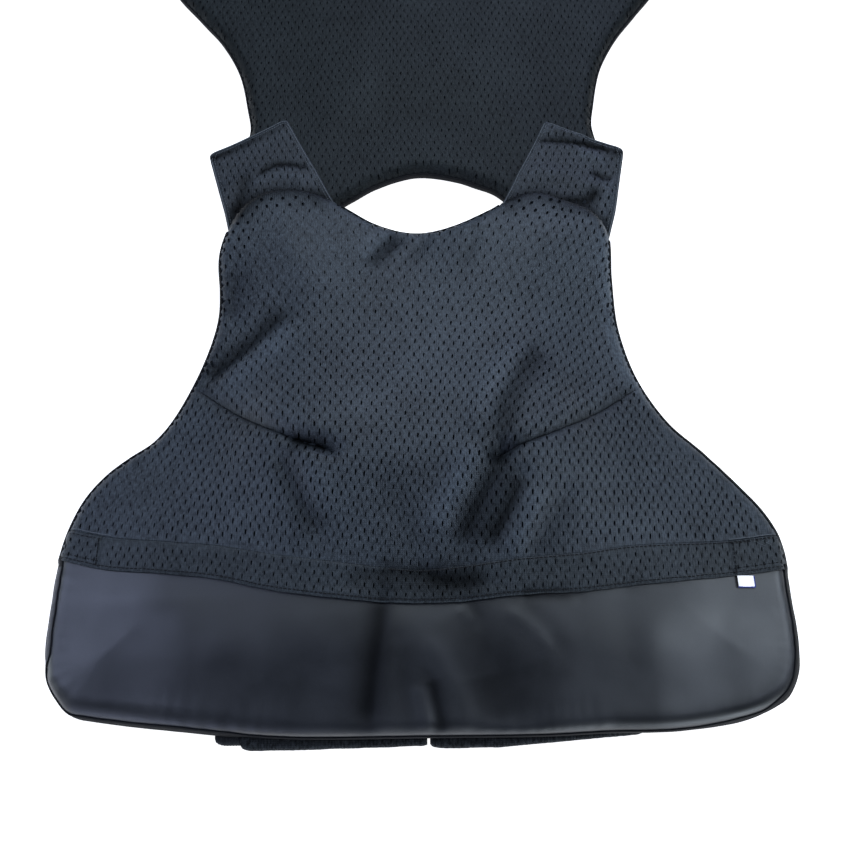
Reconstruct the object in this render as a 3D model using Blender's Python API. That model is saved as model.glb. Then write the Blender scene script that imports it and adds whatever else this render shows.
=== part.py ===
"""A soft armour vest lying open on a flat surface, its mesh lining facing up.

The front pad is at -Y and the back pad at +Y, with X across the body. Both pads are worked out
in plan from a half outline, then given a height at each point. The lining, its hem and the tag
are sheets that lie on the front pad's faces with a small gap.
Tables are in millimetres, and MM turns them into metres. In a table, "from_hem" is the distance
from that panel's own lower edge, measured towards its neckline.
"""
from collections import defaultdict, namedtuple

import bmesh
import bpy
import numpy as np
from mathutils import Vector
from mathutils.geometry import delaunay_2d_cdt

MM = 0.001

# Where each panel's lower edge lies
FRONT_HEM_Y = -416 * MM
BACK_HEM_Y = 419.5 * MM

# The half outlines, from the middle of the hem round the side to the middle of the neckline
Station = namedtuple("Station", "half_width from_hem")
FRONT_OUTLINE = (
    Station(0, 3),
    Station(80, 3),
    Station(158, 9),
    Station(216, 18),
    Station(238, 31),
    Station(247, 55),
    Station(248.5, 95),
    Station(246, 131),
    Station(231, 168),
    Station(205, 196.5),
    Station(181, 221),
    Station(162, 258),
    Station(152.5, 299),
    Station(150.5, 345),
    Station(150.5, 380),
    Station(141.5, 407),
    Station(122, 422),
    Station(100, 425.5),
    Station(76, 418.5),
    Station(58, 404),
    Station(35, 391),
    Station(0, 382.5),
)
BACK_OUTLINE = (
    Station(0, 3),
    Station(90, 3.5),
    Station(165, 9),
    Station(208, 18),
    Station(226, 32),
    Station(234, 56),
    Station(235, 98),
    Station(231, 138),
    Station(217, 176),
    Station(194, 208),
    Station(172, 238),
    Station(155, 274),
    Station(146, 314),
    Station(143, 335),
    Station(146, 358),
    Station(147, 385),
    Station(146, 412),
    Station(140, 430),
    Station(126, 438),
    Station(108, 439),
    Station(91, 436),
    Station(77, 428),
    Station(62, 413),
    Station(37, 399),
    Station(0, 389),
)

# Padding, and the rounding of its edge
PAD_THICKNESS = 12 * MM
EDGE_WALL = 4 * MM
EDGE_ROUND = 9 * MM
EDGE_RINGS = (0.34, 1.0)

# The swell of each panel's middle, the bust mounds, and what lifts the front pad off the floor
Crown = namedtuple("Crown", "rise starts reach")
FRONT_CROWN = Crown(6, 0, 80)
BACK_CROWN = Crown(5, 32, 80)
Mound = namedtuple("Mound", "x from_hem rise spread_x spread_y")
BUST_MOUNDS = (
    Mound(-66, 198, 24, 50, 56),
    Mound(66, 198, 24, 50, 56),
)
SIDE_STRAP_HEIGHT = 4.8 * MM
HEM_LIFT = 5.2 * MM
HEM_LIFT_X = (150 * MM, 205 * MM)
HEM_LIFT_FROM_HEM = (50 * MM, 110 * MM)
SHOULDER_LIFT = 14.5 * MM
SHOULDER_LIFT_FROM_HEM = (300 * MM, 388 * MM)
SHOULDER_LIFT_X = 52 * MM
NECK_LIFT_SHARE = 0.35

# Cloth lying on the pads
CLOTH_GAP = 0.5 * MM
MESH_THICKNESS = 1.5 * MM
HEM_THICKNESS = 2.2 * MM
TAG_THICKNESS = 1.0 * MM
SEAM_GAP = 0.4 * MM

# The hem's two lines on the front, level with these half widths
HemStation = namedtuple("HemStation", "half_width lower upper")
FRONT_HEM = (
    HemStation(0, 87, 110),
    HemStation(74, 92.5, 116.5),
    HemStation(142, 103.5, 128),
    HemStation(212, 112.5, 136),
    HemStation(252, 118, 141),
)
BACK_HEM = (
    HemStation(0, 92, 118),
    HemStation(80, 96, 122),
    HemStation(150, 104, 130),
    HemStation(240, 112, 138),
)
HEM_PATCH_LEFT_X = -219 * MM
HEM_PATCH_RIGHT_X = 213 * MM

# The tag, on the smooth cover just below the hem
Rect = namedtuple("Rect", "x_min x_max from_hem_min from_hem_max")
TAG = Rect(217, 227, 97.5, 107)

# Folds of the front: depth is below the pad's face, and a negative one is a ridge
Fold = namedtuple("Fold", "name points width depth_start depth_end")
FRONT_FOLDS = (
    Fold("dart_left", ((-163, 252), (-110, 218), (-57, 186)), 5, 1.2, 3.8),
    Fold("dart_right", ((163, 248), (107, 213), (55, 184)), 5, 1.2, 3.8),
    Fold("below_dart_right", ((56, 181), (43, 160), (30, 139), (20, 124)), 8, 3.6, 0.8),
    Fold("below_dart_right_outer", ((70, 168), (55, 145), (41, 125)), 7, 2.6, 0.8),
    Fold("above_dart_right", ((90, 268), (66, 226), (57, 200)), 12, 0.5, 2.4),
    Fold("armhole_left", ((-158, 262), (-124, 292), (-100, 316)), 8, 3.4, 0.8),
    Fold("armhole_left_upright", ((-140, 316), (-138, 352)), 8, 2.0, 1.0),
    Fold("neck_left", ((-14, 374), (-36, 348)), 6, 2.2, 0.6),
    Fold("neck_middle", ((8, 372), (-4, 352)), 6, 1.6, 0.5),
    Fold("cover_left", ((-26, 84), (-27, 60), (-31, 32), (-37, 12)), 7, 4.2, 1.0),
    Fold("cover_middle", ((-12, 58), (-8, 14)), 5, 1.6, 1.0),
    Fold("cover_pinch", ((-3, 36), (6, 6)), 4, 1.0, 2.6),
    Fold("cover_right", ((52, 84), (82, 58), (94, 24)), 9, 1.2, 1.8),
)
FOLD_STEP = 12 * MM

# Shoulder straps: the four corners of the right one, the two at the root being on the front pad
StrapCorner = namedtuple("StrapCorner", "x from_front_hem")
STRAP_ROOT_OUTER = StrapCorner(150.5, 384)
STRAP_END_OUTER = StrapCorner(169, 465)
STRAP_END_INNER = StrapCorner(110.5, 496)
STRAP_ROOT_INNER = StrapCorner(66, 411)
STRAP_THICKNESS = 2.4 * MM
STRAP_UNDERSIDE = 14.6 * MM
STRAP_ROOT_GAP = 0.45 * MM
STRAP_CORNER_ROUND = 6 * MM
STRAP_CURL = 2.5 * MM
STRAP_CURL_REACH = 26 * MM
STRAP_RIDGE = 1.6 * MM
STRAP_RIDGE_FROM_PAD = 25 * MM
STRAP_RIDGE_WIDTH = 7 * MM

# Piping: its section out from the pad's wall and up from the pad's underside
PipingCorner = namedtuple("PipingCorner", "out up")
PIPING_SECTION = (
    PipingCorner(0.4, 0.2),
    PipingCorner(2.0, 0.2),
    PipingCorner(2.8, 1.9),
    PipingCorner(2.0, 3.6),
    PipingCorner(0.4, 3.6),
)

# Side straps: two layers with a fold at the front edge
FoldedStrap = namedtuple("FoldedStrap", "name x_min x_max front depth layer")
SIDE_STRAPS = (
    FoldedStrap("side_strap_left", -117, 4.2, -3.0, 52, 2.2),
    FoldedStrap("side_strap_right", 7, 143.5, -3.6, 52, 2.2),
    FoldedStrap("strap_elastic_left", -135, -117.5, -1.0, 44, 2.1),
)
ELASTIC_RIBS = 5
ELASTIC_RIB_DEPTH = 0.25 * MM
BEND_SIDES = 5

# Spacing of the mesh points in plan
FRONT_EDGE_STEP = 14 * MM
FRONT_GRID = 19.5 * MM
BACK_EDGE_STEP = 19 * MM
BACK_GRID = 28 * MM
UNDERSIDE_GRID = 32 * MM
STRAP_EDGE_STEP = 13 * MM
STRAP_GRID = 17 * MM
HEM_STEP = 19 * MM
CURVE_SAMPLES = 24
SMALL = 1e-6

# Colour, roughness and metallic value of each finish
Finish = namedtuple("Finish", "color roughness metallic")
FINISHES = {
    "smooth_cover": Finish((0.018, 0.022, 0.030), 0.45, 0.0),
    "mesh_lining": Finish((0.030, 0.036, 0.046), 0.75, 0.0),
    "mesh_hem": Finish((0.024, 0.030, 0.038), 0.75, 0.0),
    "piping": Finish((0.008, 0.008, 0.010), 0.6, 0.0),
    "elastic": Finish((0.012, 0.013, 0.016), 0.7, 0.0),
    "tag_cloth": Finish((0.80, 0.81, 0.84), 0.7, 0.0),
}


def clear_scene():
    for item in list(bpy.data.objects):
        bpy.data.objects.remove(item, do_unlink=True)


def material(name):
    finish = FINISHES[name]
    made = bpy.data.materials.get(name) or bpy.data.materials.new(name)
    made.use_nodes = True
    shader = made.node_tree.nodes["Principled BSDF"]
    shader.inputs["Base Color"].default_value = (*finish.color, 1.0)
    shader.inputs["Roughness"].default_value = finish.roughness
    shader.inputs["Metallic"].default_value = finish.metallic
    return made


def smoothstep(value):
    value = np.clip(value, 0.0, 1.0)
    return value * value * (3.0 - 2.0 * value)


# Curves and outlines in plan

def smooth_curve(points, closed):
    """A dense Catmull-Rom curve through the points, with centripetal spacing."""
    points = np.asarray(points, float)
    if closed:
        padded = np.vstack([points[-1], points, points[0], points[1]])
    else:
        first = 2 * points[0] - points[1]
        last = 2 * points[-1] - points[-2]
        padded = np.vstack([first, points, last])
    pieces = []
    for a, b, c, d in zip(padded, padded[1:], padded[2:], padded[3:]):
        knots = np.cumsum([0.0] + [np.linalg.norm(q - p) ** 0.5 for p, q in ((a, b), (b, c), (c, d))])
        at = np.linspace(knots[1], knots[2], CURVE_SAMPLES, endpoint=False)[:, None]
        ab = ((knots[1] - at) * a + at * b) / knots[1]
        bc = ((knots[2] - at) * b + (at - knots[1]) * c) / (knots[2] - knots[1])
        cd = ((knots[3] - at) * c + (at - knots[2]) * d) / (knots[3] - knots[2])
        abc = ((knots[2] - at) * ab + at * bc) / knots[2]
        bcd = ((knots[3] - at) * bc + (at - knots[1]) * cd) / (knots[3] - knots[1])
        pieces.append(((knots[2] - at) * abc + (at - knots[1]) * bcd) / (knots[2] - knots[1]))
    curve = np.vstack(pieces)
    return curve if closed else np.vstack([curve, points[-1]])


def even_steps(curve, step, closed):
    """The curve's points at even distances of about one step."""
    line = np.vstack([curve, curve[0]]) if closed else curve
    travelled = np.r_[0.0, np.cumsum(np.linalg.norm(np.diff(line, axis=0), axis=1))]
    count = max(int(round(travelled[-1] / step)), 1)
    at = np.linspace(0.0, travelled[-1], count + 1)
    if closed:
        at = at[:-1]
    return np.column_stack([np.interp(at, travelled, line[:, k]) for k in range(2)])


def panel_loop(stations, hem_y, towards_neck, step):
    """The whole outline, counter-clockwise, from a half outline and its mirror image."""
    right = [(s.half_width * MM, hem_y + towards_neck * s.from_hem * MM) for s in stations]
    left = [(-x, y) for x, y in right[-2:0:-1]]
    loop = even_steps(smooth_curve(right + left, closed=True), step, closed=True)
    return loop if towards_neck > 0 else loop[::-1]


def outward(loop):
    """Unit normals that point out of a counter-clockwise loop."""
    along = np.roll(loop, -1, axis=0) - np.roll(loop, 1, axis=0)
    along /= np.linalg.norm(along, axis=1)[:, None]
    return np.column_stack([along[:, 1], -along[:, 0]])


def segment_distance(points, line, closed):
    """Each point's distance to a line of segments."""
    ends = np.roll(line, -1, axis=0) if closed else line[1:]
    starts = line if closed else line[:-1]
    along = ends - starts
    offset = points[:, None, :] - starts[None, :, :]
    share = np.clip((offset * along).sum(2) / (along * along).sum(1), 0.0, 1.0)
    gap = offset - share[:, :, None] * along
    return np.sqrt((gap * gap).sum(2).min(1))


def is_inside(points, loop):
    ends = np.roll(loop, -1, axis=0)
    x, y = points[:, 0][:, None], points[:, 1][:, None]
    crosses = (loop[:, 1] > y) != (ends[:, 1] > y)
    rise = np.where(ends[:, 1] == loop[:, 1], SMALL, ends[:, 1] - loop[:, 1])
    at_x = loop[:, 0] + (y - loop[:, 1]) / rise * (ends[:, 0] - loop[:, 0])
    return (crosses & (x < at_x)).sum(1) % 2 == 1


def grid_inside(loop, spacing, margin, keep_clear):
    """Points of a triangular grid inside the loop, clear of its edge and of the given lines."""
    low, high = loop.min(0), loop.max(0)
    row_height = spacing * 3 ** 0.5 / 2
    rows = []
    for k, y in enumerate(np.arange(low[1] + row_height / 2, high[1], row_height)):
        half_count = int((high[0] - low[0]) / spacing / 2) + 1
        x = (np.arange(-half_count, half_count + 1) + 0.5 * (k % 2)) * spacing
        rows.append(np.column_stack([x + (low[0] + high[0]) / 2, np.full(len(x), y)]))
    points = np.vstack(rows)
    points = points[is_inside(points, loop)]
    points = points[segment_distance(points, loop, closed=True) > margin]
    for line, clear in keep_clear:
        points = points[segment_distance(points, line, closed=False) > clear]
    return points


def triangulate(loop, lines, loose):
    """Triangles that fill the loop, with the lines as edges and the loose points as corners."""
    points, edges = list(loop), []
    edges += [(k, (k + 1) % len(loop)) for k in range(len(loop))]
    for line in lines:
        start = len(points)
        points += list(line)
        edges += [(start + k, start + k + 1) for k in range(len(line) - 1)]
    points += list(loose)
    corners, _, faces, origins, _, _ = delaunay_2d_cdt(
        [Vector(p) for p in points], edges, [list(range(len(loop)))], 2, SMALL, True)
    plan = np.array([tuple(c) for c in corners])
    triangles = [tuple(f) for f in faces if len(f) == 3]
    middles = plan[np.array(triangles)].mean(1)
    triangles = [t for t, keep in zip(triangles, is_inside(middles, loop)) if keep]
    rim = {k for k, from_points in enumerate(origins) if any(p < len(loop) for p in from_points)}
    return plan, wound_up(plan, triangles), rim


def wound_up(plan, triangles):
    """The same triangles, all counter-clockwise seen from above."""
    turned = []
    for a, b, c in triangles:
        side = np.cross(plan[b] - plan[a], plan[c] - plan[a])
        turned.append((a, b, c) if side > 0 else (a, c, b))
    return turned


# Heights

def swell(distance, crown):
    return crown.rise * MM * smoothstep((distance - crown.starts * MM) / (crown.reach * MM))


def front_underside(plan, distance):
    x, from_hem = plan[:, 0], plan[:, 1] - FRONT_HEM_Y
    height = swell(distance, FRONT_CROWN)
    edge_fade = smoothstep(distance / (FRONT_CROWN.reach * MM))
    for m in BUST_MOUNDS:
        away = ((x / MM - m.x) / m.spread_x) ** 2 + ((from_hem / MM - m.from_hem) / m.spread_y) ** 2
        height = height + m.rise * MM * np.exp(-away / 2) * edge_fade
    across = smoothstep((HEM_LIFT_X[1] - abs(x)) / (HEM_LIFT_X[1] - HEM_LIFT_X[0]))
    near_hem = (HEM_LIFT_FROM_HEM[1] - from_hem) / (HEM_LIFT_FROM_HEM[1] - HEM_LIFT_FROM_HEM[0])
    height = height + HEM_LIFT * across * smoothstep(near_hem)
    rise_start, rise_end = SHOULDER_LIFT_FROM_HEM
    near_shoulder = smoothstep((from_hem - rise_start) / (rise_end - rise_start))
    neck_share = NECK_LIFT_SHARE + (1 - NECK_LIFT_SHARE) * smoothstep(abs(x) / SHOULDER_LIFT_X)
    return height + SHOULDER_LIFT * near_shoulder * neck_share


def back_underside(plan, distance):
    return swell(distance, BACK_CROWN)


def padding(distance):
    """The pad's thickness, rounded off towards its edge."""
    inward = 1 - np.clip(distance / EDGE_ROUND, 0.0, 1.0)
    return EDGE_WALL + (PAD_THICKNESS - EDGE_WALL) * np.sqrt(1 - inward * inward)


def fold_line(fold, hem_y):
    points = [(x * MM, hem_y + from_hem * MM) for x, from_hem in fold.points]
    return even_steps(smooth_curve(points, closed=False), FOLD_STEP, closed=False)


def fold_depth(plan, fold, hem_y):
    """How far the fold sinks the face at each point: deepest on its line, nothing past its ends."""
    line = fold_line(fold, hem_y)
    starts, along = line[:-1], np.diff(line, axis=0)
    lengths = np.linalg.norm(along, axis=1)
    before = np.r_[0.0, np.cumsum(lengths)[:-1]]
    offset = plan[:, None, :] - starts[None, :, :]
    share = np.clip((offset * along).sum(2) / lengths ** 2, 0.0, 1.0)
    gap = np.linalg.norm(offset - share[:, :, None] * along, axis=2)
    nearest = gap.argmin(1)
    rows = np.arange(len(plan))
    travelled = (before[nearest] + share[rows, nearest] * lengths[nearest]) / lengths.sum()
    depth = fold.depth_start + (fold.depth_end - fold.depth_start) * travelled
    return depth * MM * np.exp(-(gap[rows, nearest] / (fold.width * MM)) ** 2)


def folds_depth(plan, distance, folds, hem_y):
    total = np.zeros(len(plan))
    for fold in folds:
        total += fold_depth(plan, fold, hem_y)
    return total * smoothstep(distance / EDGE_ROUND)


# Pads and the sheets that lie on them

Face = namedtuple("Face", "plan points normals triangles rim")


def hem_line(stations, line, hem_y, towards_neck, offset=0.0):
    """One line of the hem from side to side, its middle on the centre line."""
    half = [(s.half_width * MM, getattr(s, line) * MM) for s in stations]
    both = [(-x, y) for x, y in half[:0:-1]] + half
    points = [(x, hem_y + towards_neck * (y + offset)) for x, y in both]
    return even_steps(smooth_curve(points, closed=False), HEM_STEP, closed=False)


def clipped(line, loop, margin):
    """The stretch of a line inside the loop, carried on to the loop at both ends."""
    inner = line[is_inside(line, loop)]
    inner = inner[segment_distance(inner, loop, closed=True) > margin]
    ends = [loop[np.linalg.norm(loop - end, axis=1).argmin()] for end in (inner[0], inner[-1])]
    return np.vstack([ends[0], inner, ends[1]])


def pad_face(loop, underside, folds, hem_y, lines, grid):
    """The upper face of a pad: its triangles in plan, lifted to their heights."""
    rings = [loop - outward(loop) * EDGE_ROUND * share for share in EDGE_RINGS]
    fold_rows = []
    for fold in folds:
        line = fold_line(fold, hem_y)
        along = np.gradient(line, axis=0)
        along /= np.linalg.norm(along, axis=1)[:, None]
        aside = np.column_stack([-along[:, 1], along[:, 0]]) * fold.width * MM
        fold_rows.append((line, fold.width * MM))
        fold_rows += [(line + aside, 0.0), (line - aside, 0.0)]
    fold_points = []
    for line, _ in fold_rows:
        kept = line[is_inside(line, rings[-1])]
        if len(kept):
            kept = kept[segment_distance(kept, rings[-1], closed=True) > EDGE_ROUND / 3]
        for other in lines:
            if len(kept):
                kept = kept[segment_distance(kept, other, closed=False) > EDGE_ROUND / 3]
        fold_points += list(kept)
    fold_points = thinned(fold_points, EDGE_ROUND / 3)
    keep_clear = [(line, grid * 0.55) for line in lines]
    keep_clear += [(fold_line(fold, hem_y), fold.width * MM + grid * 0.4) for fold in folds]
    loose = list(grid_inside(loop, grid, EDGE_ROUND + grid * 0.55, keep_clear)) + fold_points
    for ring in rings:
        for line in lines:
            ring = ring[segment_distance(ring, line, closed=False) > EDGE_ROUND / 4]
        loose += list(ring)
    plan, triangles, rim = triangulate(loop, lines, loose)
    distance = segment_distance(plan, loop, closed=True)
    height = underside(plan, distance) + padding(distance)
    height -= folds_depth(plan, distance, folds, hem_y)
    points = np.column_stack([plan, height])
    return Face(plan, points, face_normals(points, triangles, rim, loop), triangles, rim)


def thinned(points, spacing):
    """The points without those that stand closer than the spacing to an earlier one."""
    kept = []
    for point in points:
        if all(np.hypot(*(point - other)) > spacing for other in kept):
            kept.append(point)
    return kept


def face_normals(points, triangles, rim, loop):
    corners = points[np.array(triangles)]
    across = np.cross(corners[:, 1] - corners[:, 0], corners[:, 2] - corners[:, 0])
    normals = np.zeros_like(points)
    for k in range(3):
        np.add.at(normals, np.array(triangles)[:, k], across)
    normals /= np.linalg.norm(normals, axis=1)[:, None]
    outwards = outward(loop)
    for k in rim:
        nearest = np.linalg.norm(loop - points[k, :2], axis=1).argmin()
        normals[k] += (*outwards[nearest], 0.0)
    return normals / np.linalg.norm(normals, axis=1)[:, None]


def rim_in_order(face, loop):
    """The face's corners on its outline, in the outline's order."""
    rim = np.array(sorted(face.rim))
    nearest = [np.linalg.norm(loop - face.plan[k], axis=1).argmin() for k in rim]
    return [int(k) for _, k in sorted(zip(nearest, rim))]


def new_object(name, vertices, faces, finish):
    mesh = bpy.data.meshes.new(name)
    mesh.from_pydata([tuple(v) for v in vertices], [], faces)
    mesh.validate()
    mesh.update()
    mesh.materials.append(material(finish))
    mesh.shade_smooth()
    made = bpy.data.objects.new(name, mesh)
    bpy.context.collection.objects.link(made)
    return made


def build_pad(name, face, loop, underside):
    """The closed pad: its upper face, a low wall round the edge and a plainer underside."""
    rim = rim_in_order(face, loop)
    edge = face.plan[rim]
    below = grid_inside(edge, UNDERSIDE_GRID, UNDERSIDE_GRID * 0.55, [])
    inner_ring = edge[::2] - outward(edge)[::2] * EDGE_ROUND * 2
    plan, triangles, _ = triangulate(edge, [], list(inner_ring) + list(below))
    height = underside(plan, segment_distance(plan, loop, closed=True))
    offset = len(face.points)
    vertices = list(face.points) + list(np.column_stack([plan, height]))
    faces = list(face.triangles)
    faces += [(offset + a, offset + c, offset + b) for a, b, c in triangles]
    low = [offset + int(np.linalg.norm(plan - edge[k], axis=1).argmin()) for k in range(len(rim))]
    for k in range(len(rim)):
        after = (k + 1) % len(rim)
        faces.append((rim[k], low[k], low[after]))
        faces.append((rim[k], low[after], rim[after]))
    return new_object(name, vertices, faces, "smooth_cover")


def build_sheet(name, face, triangles, thickness, finish):
    """A closed sheet of cloth over some of a face's triangles."""
    used = sorted({k for t in triangles for k in t})
    renumber = {k: n for n, k in enumerate(used)}
    borders = defaultdict(int)
    for a, b, c in triangles:
        for edge in ((a, b), (b, c), (c, a)):
            borders[edge] += 1
    open_edges = [e for e in borders if (e[1], e[0]) not in borders]
    at_seam = {k for e in open_edges if not (e[0] in face.rim and e[1] in face.rim) for k in e}
    inward = defaultdict(list)
    for t in triangles:
        for k in t:
            inward[k].append(face.points[list(t)].mean(0))
    base = face.points.copy()
    for k in at_seam:
        step = np.mean(inward[k], axis=0) - base[k]
        base[k] = base[k] + step / np.linalg.norm(step) * SEAM_GAP / 2
    low = base[used] + face.normals[used] * CLOTH_GAP
    high = base[used] + face.normals[used] * (CLOTH_GAP + thickness)
    count = len(used)
    faces = []
    for a, b, c in triangles:
        a, b, c = renumber[a], renumber[b], renumber[c]
        faces += [(count + a, count + b, count + c), (a, c, b)]
    for a, b in open_edges:
        a, b = renumber[a], renumber[b]
        faces += [(a, b, count + b), (a, count + b, count + a)]
    return new_object(name, list(low) + list(high), faces, finish)


def level_with(line, x):
    """The line's Y at each x."""
    order = line[:, 0].argsort()
    return np.interp(x, line[order, 0], line[order, 1])


def pick(face, test):
    """The face's triangles whose middle passes the test."""
    middles = face.plan[np.array(face.triangles)].mean(1)
    return [t for t, keep in zip(face.triangles, test(middles)) if keep]


def build_piping(name, edge, base, closed, finish="piping"):
    """A bead with the piping's section along an edge, resting against the pad's wall."""
    out = outward(edge) if closed else open_outward(edge)
    sides = len(PIPING_SECTION)
    vertices = []
    for point, normal, z in zip(edge, out, base):
        for corner in PIPING_SECTION:
            x, y = point + normal * corner.out * MM
            vertices.append((x, y, z + corner.up * MM))
    faces = []
    steps = len(edge) if closed else len(edge) - 1
    for k in range(steps):
        here, after = k * sides, (k + 1) % len(edge) * sides
        for n in range(sides):
            m = (n + 1) % sides
            faces.append((here + n, after + n, after + m))
            faces.append((here + n, after + m, here + m))
    if not closed:
        last = (len(edge) - 1) * sides
        faces += [(0, n, n + 1) for n in range(1, sides - 1)]
        faces += [(last, last + n + 1, last + n) for n in range(1, sides - 1)]
    made = new_object(name, vertices, faces, finish)
    face_out(made)
    return made


def face_out(item):
    """Turns a closed body's faces outwards."""
    shape = bmesh.new()
    shape.from_mesh(item.data)
    bmesh.ops.recalc_face_normals(shape, faces=shape.faces)
    shape.to_mesh(item.data)
    shape.free()


def open_outward(line):
    along = np.gradient(line, axis=0)
    along /= np.linalg.norm(along, axis=1)[:, None]
    return np.column_stack([along[:, 1], -along[:, 0]])


# Straps

def strap_point(corner, side):
    return np.array([side * corner.x * MM, FRONT_HEM_Y + corner.from_front_hem * MM])


def rounded_corner(before, corner, after, radius):
    """Three points that round off a corner."""
    towards = [(p - corner) / np.linalg.norm(p - corner) for p in (before, after)]
    start, end = corner + towards[0] * radius, corner + towards[1] * radius
    return [start, (start + end) / 4 + corner / 2, end]


def strap_loop(side, front_loop):
    """A strap's outline: the pad's edge between its two roots, and three straight free sides."""
    root = front_loop + outward(front_loop) * STRAP_ROOT_GAP
    on_side = side * root[:, 0] > 0
    outer, inner = strap_point(STRAP_ROOT_OUTER, side), strap_point(STRAP_ROOT_INNER, side)
    first = np.where(on_side, np.linalg.norm(root - outer, axis=1), 1.0).argmin()
    last = np.where(on_side, np.linalg.norm(root - inner, axis=1), 1.0).argmin()
    shared = root[min(first, last):max(first, last) + 1]
    if side < 0:
        shared = shared[::-1]
    end_outer, end_inner = strap_point(STRAP_END_OUTER, side), strap_point(STRAP_END_INNER, side)
    far = rounded_corner(shared[-1], end_inner, end_outer, STRAP_CORNER_ROUND / 2)
    far += rounded_corner(end_inner, end_outer, shared[0], STRAP_CORNER_ROUND)
    free = [even_steps(np.array(pair), STRAP_EDGE_STEP, closed=False)
            for pair in ((shared[-1], far[0]), (far[2], far[3]), (far[5], shared[0]))]
    loop = np.vstack([shared[:-1], free[0][:-1], far[:2], free[1][:-1], far[3:5], free[2][:-1]])
    return loop[::-1] if side > 0 else loop


def strap_height(plan, side, front_loop):
    """The strap's underside: flat on the back, with one ridge, its free corners curled up."""
    from_pad = segment_distance(plan, front_loop, closed=True)
    ridge = STRAP_RIDGE * np.exp(-((from_pad - STRAP_RIDGE_FROM_PAD) / STRAP_RIDGE_WIDTH) ** 2)
    height = STRAP_UNDERSIDE + ridge
    for corner in (STRAP_END_OUTER, STRAP_END_INNER):
        away = np.linalg.norm(plan - strap_point(corner, side), axis=1)
        height = height + STRAP_CURL * smoothstep(1 - away / STRAP_CURL_REACH)
    return height


def build_shoulder_strap(name, side, front_loop):
    loop = strap_loop(side, front_loop)
    area = np.cross(loop, np.roll(loop, -1, axis=0)).sum()
    loop = loop if area > 0 else loop[::-1]
    plan, triangles, rim = triangulate(loop, [], grid_inside(loop, STRAP_GRID, STRAP_GRID * 0.5, []))
    low = np.column_stack([plan, strap_height(plan, side, front_loop)])
    face = Face(plan, low, np.tile((0.0, 0.0, 1.0), (len(plan), 1)), triangles, rim)
    return build_slab(name, face, STRAP_THICKNESS, "mesh_lining")


def build_slab(name, face, thickness, finish):
    """A closed slab that stands straight up from a lower face."""
    count = len(face.points)
    high = face.points + (0.0, 0.0, thickness)
    faces = []
    edges = set()
    for a, b, c in face.triangles:
        faces += [(count + a, count + b, count + c), (a, c, b)]
        edges |= {(a, b), (b, c), (c, a)}
    for a, b in edges:
        if (b, a) not in edges:
            faces += [(a, b, count + b), (a, count + b, count + a)]
    return new_object(name, list(face.points) + list(high), faces, finish)


def folded_section(strap):
    """A flat U in the YZ plane: two layers of cloth joined by a round fold at the front."""
    layer = strap.layer * MM
    height = SIDE_STRAP_HEIGHT if "elastic" not in strap.name else SIDE_STRAP_HEIGHT - 0.2 * MM
    front = FRONT_HEM_Y + strap.front * MM
    back = front + strap.depth * MM
    outer_radius, inner_radius = height / 2, height / 2 - layer
    turns = np.linspace(-np.pi / 2, np.pi / 2, BEND_SIDES + 1)
    outer = [(front + outer_radius * (1 - np.cos(t)), height / 2 + outer_radius * np.sin(t)) for t in turns]
    inner = [(front + outer_radius - inner_radius * np.cos(t), height / 2 + inner_radius * np.sin(t))
             for t in turns[::-1]]
    return [(back, 0.0)] + outer + [(back, height), (back, height - layer)] + inner + [(back, layer)]


def build_folded_strap(strap, finish):
    section = folded_section(strap)
    ribbed = "elastic" in strap.name
    stations = np.linspace(strap.x_min, strap.x_max, ELASTIC_RIBS * 2 + 1 if ribbed else 2) * MM
    vertices = []
    for n, x in enumerate(stations):
        sunk = ELASTIC_RIB_DEPTH if ribbed and n % 2 == 0 else 0.0
        vertices += [(x, y + sunk, z) for y, z in section]
    size = len(section)
    faces = []
    for k in range(len(stations) - 1):
        for n in range(size):
            m = (n + 1) % size
            a, b, c, d = k * size + n, k * size + m, (k + 1) * size + m, (k + 1) * size + n
            faces += [(a, b, c), (a, c, d)]
    last = (len(stations) - 1) * size
    faces += [tuple(range(size)), tuple(range(last, last + size))]
    made = new_object(strap.name, vertices, faces, finish)
    face_out(made)
    return made


# The whole vest

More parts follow.
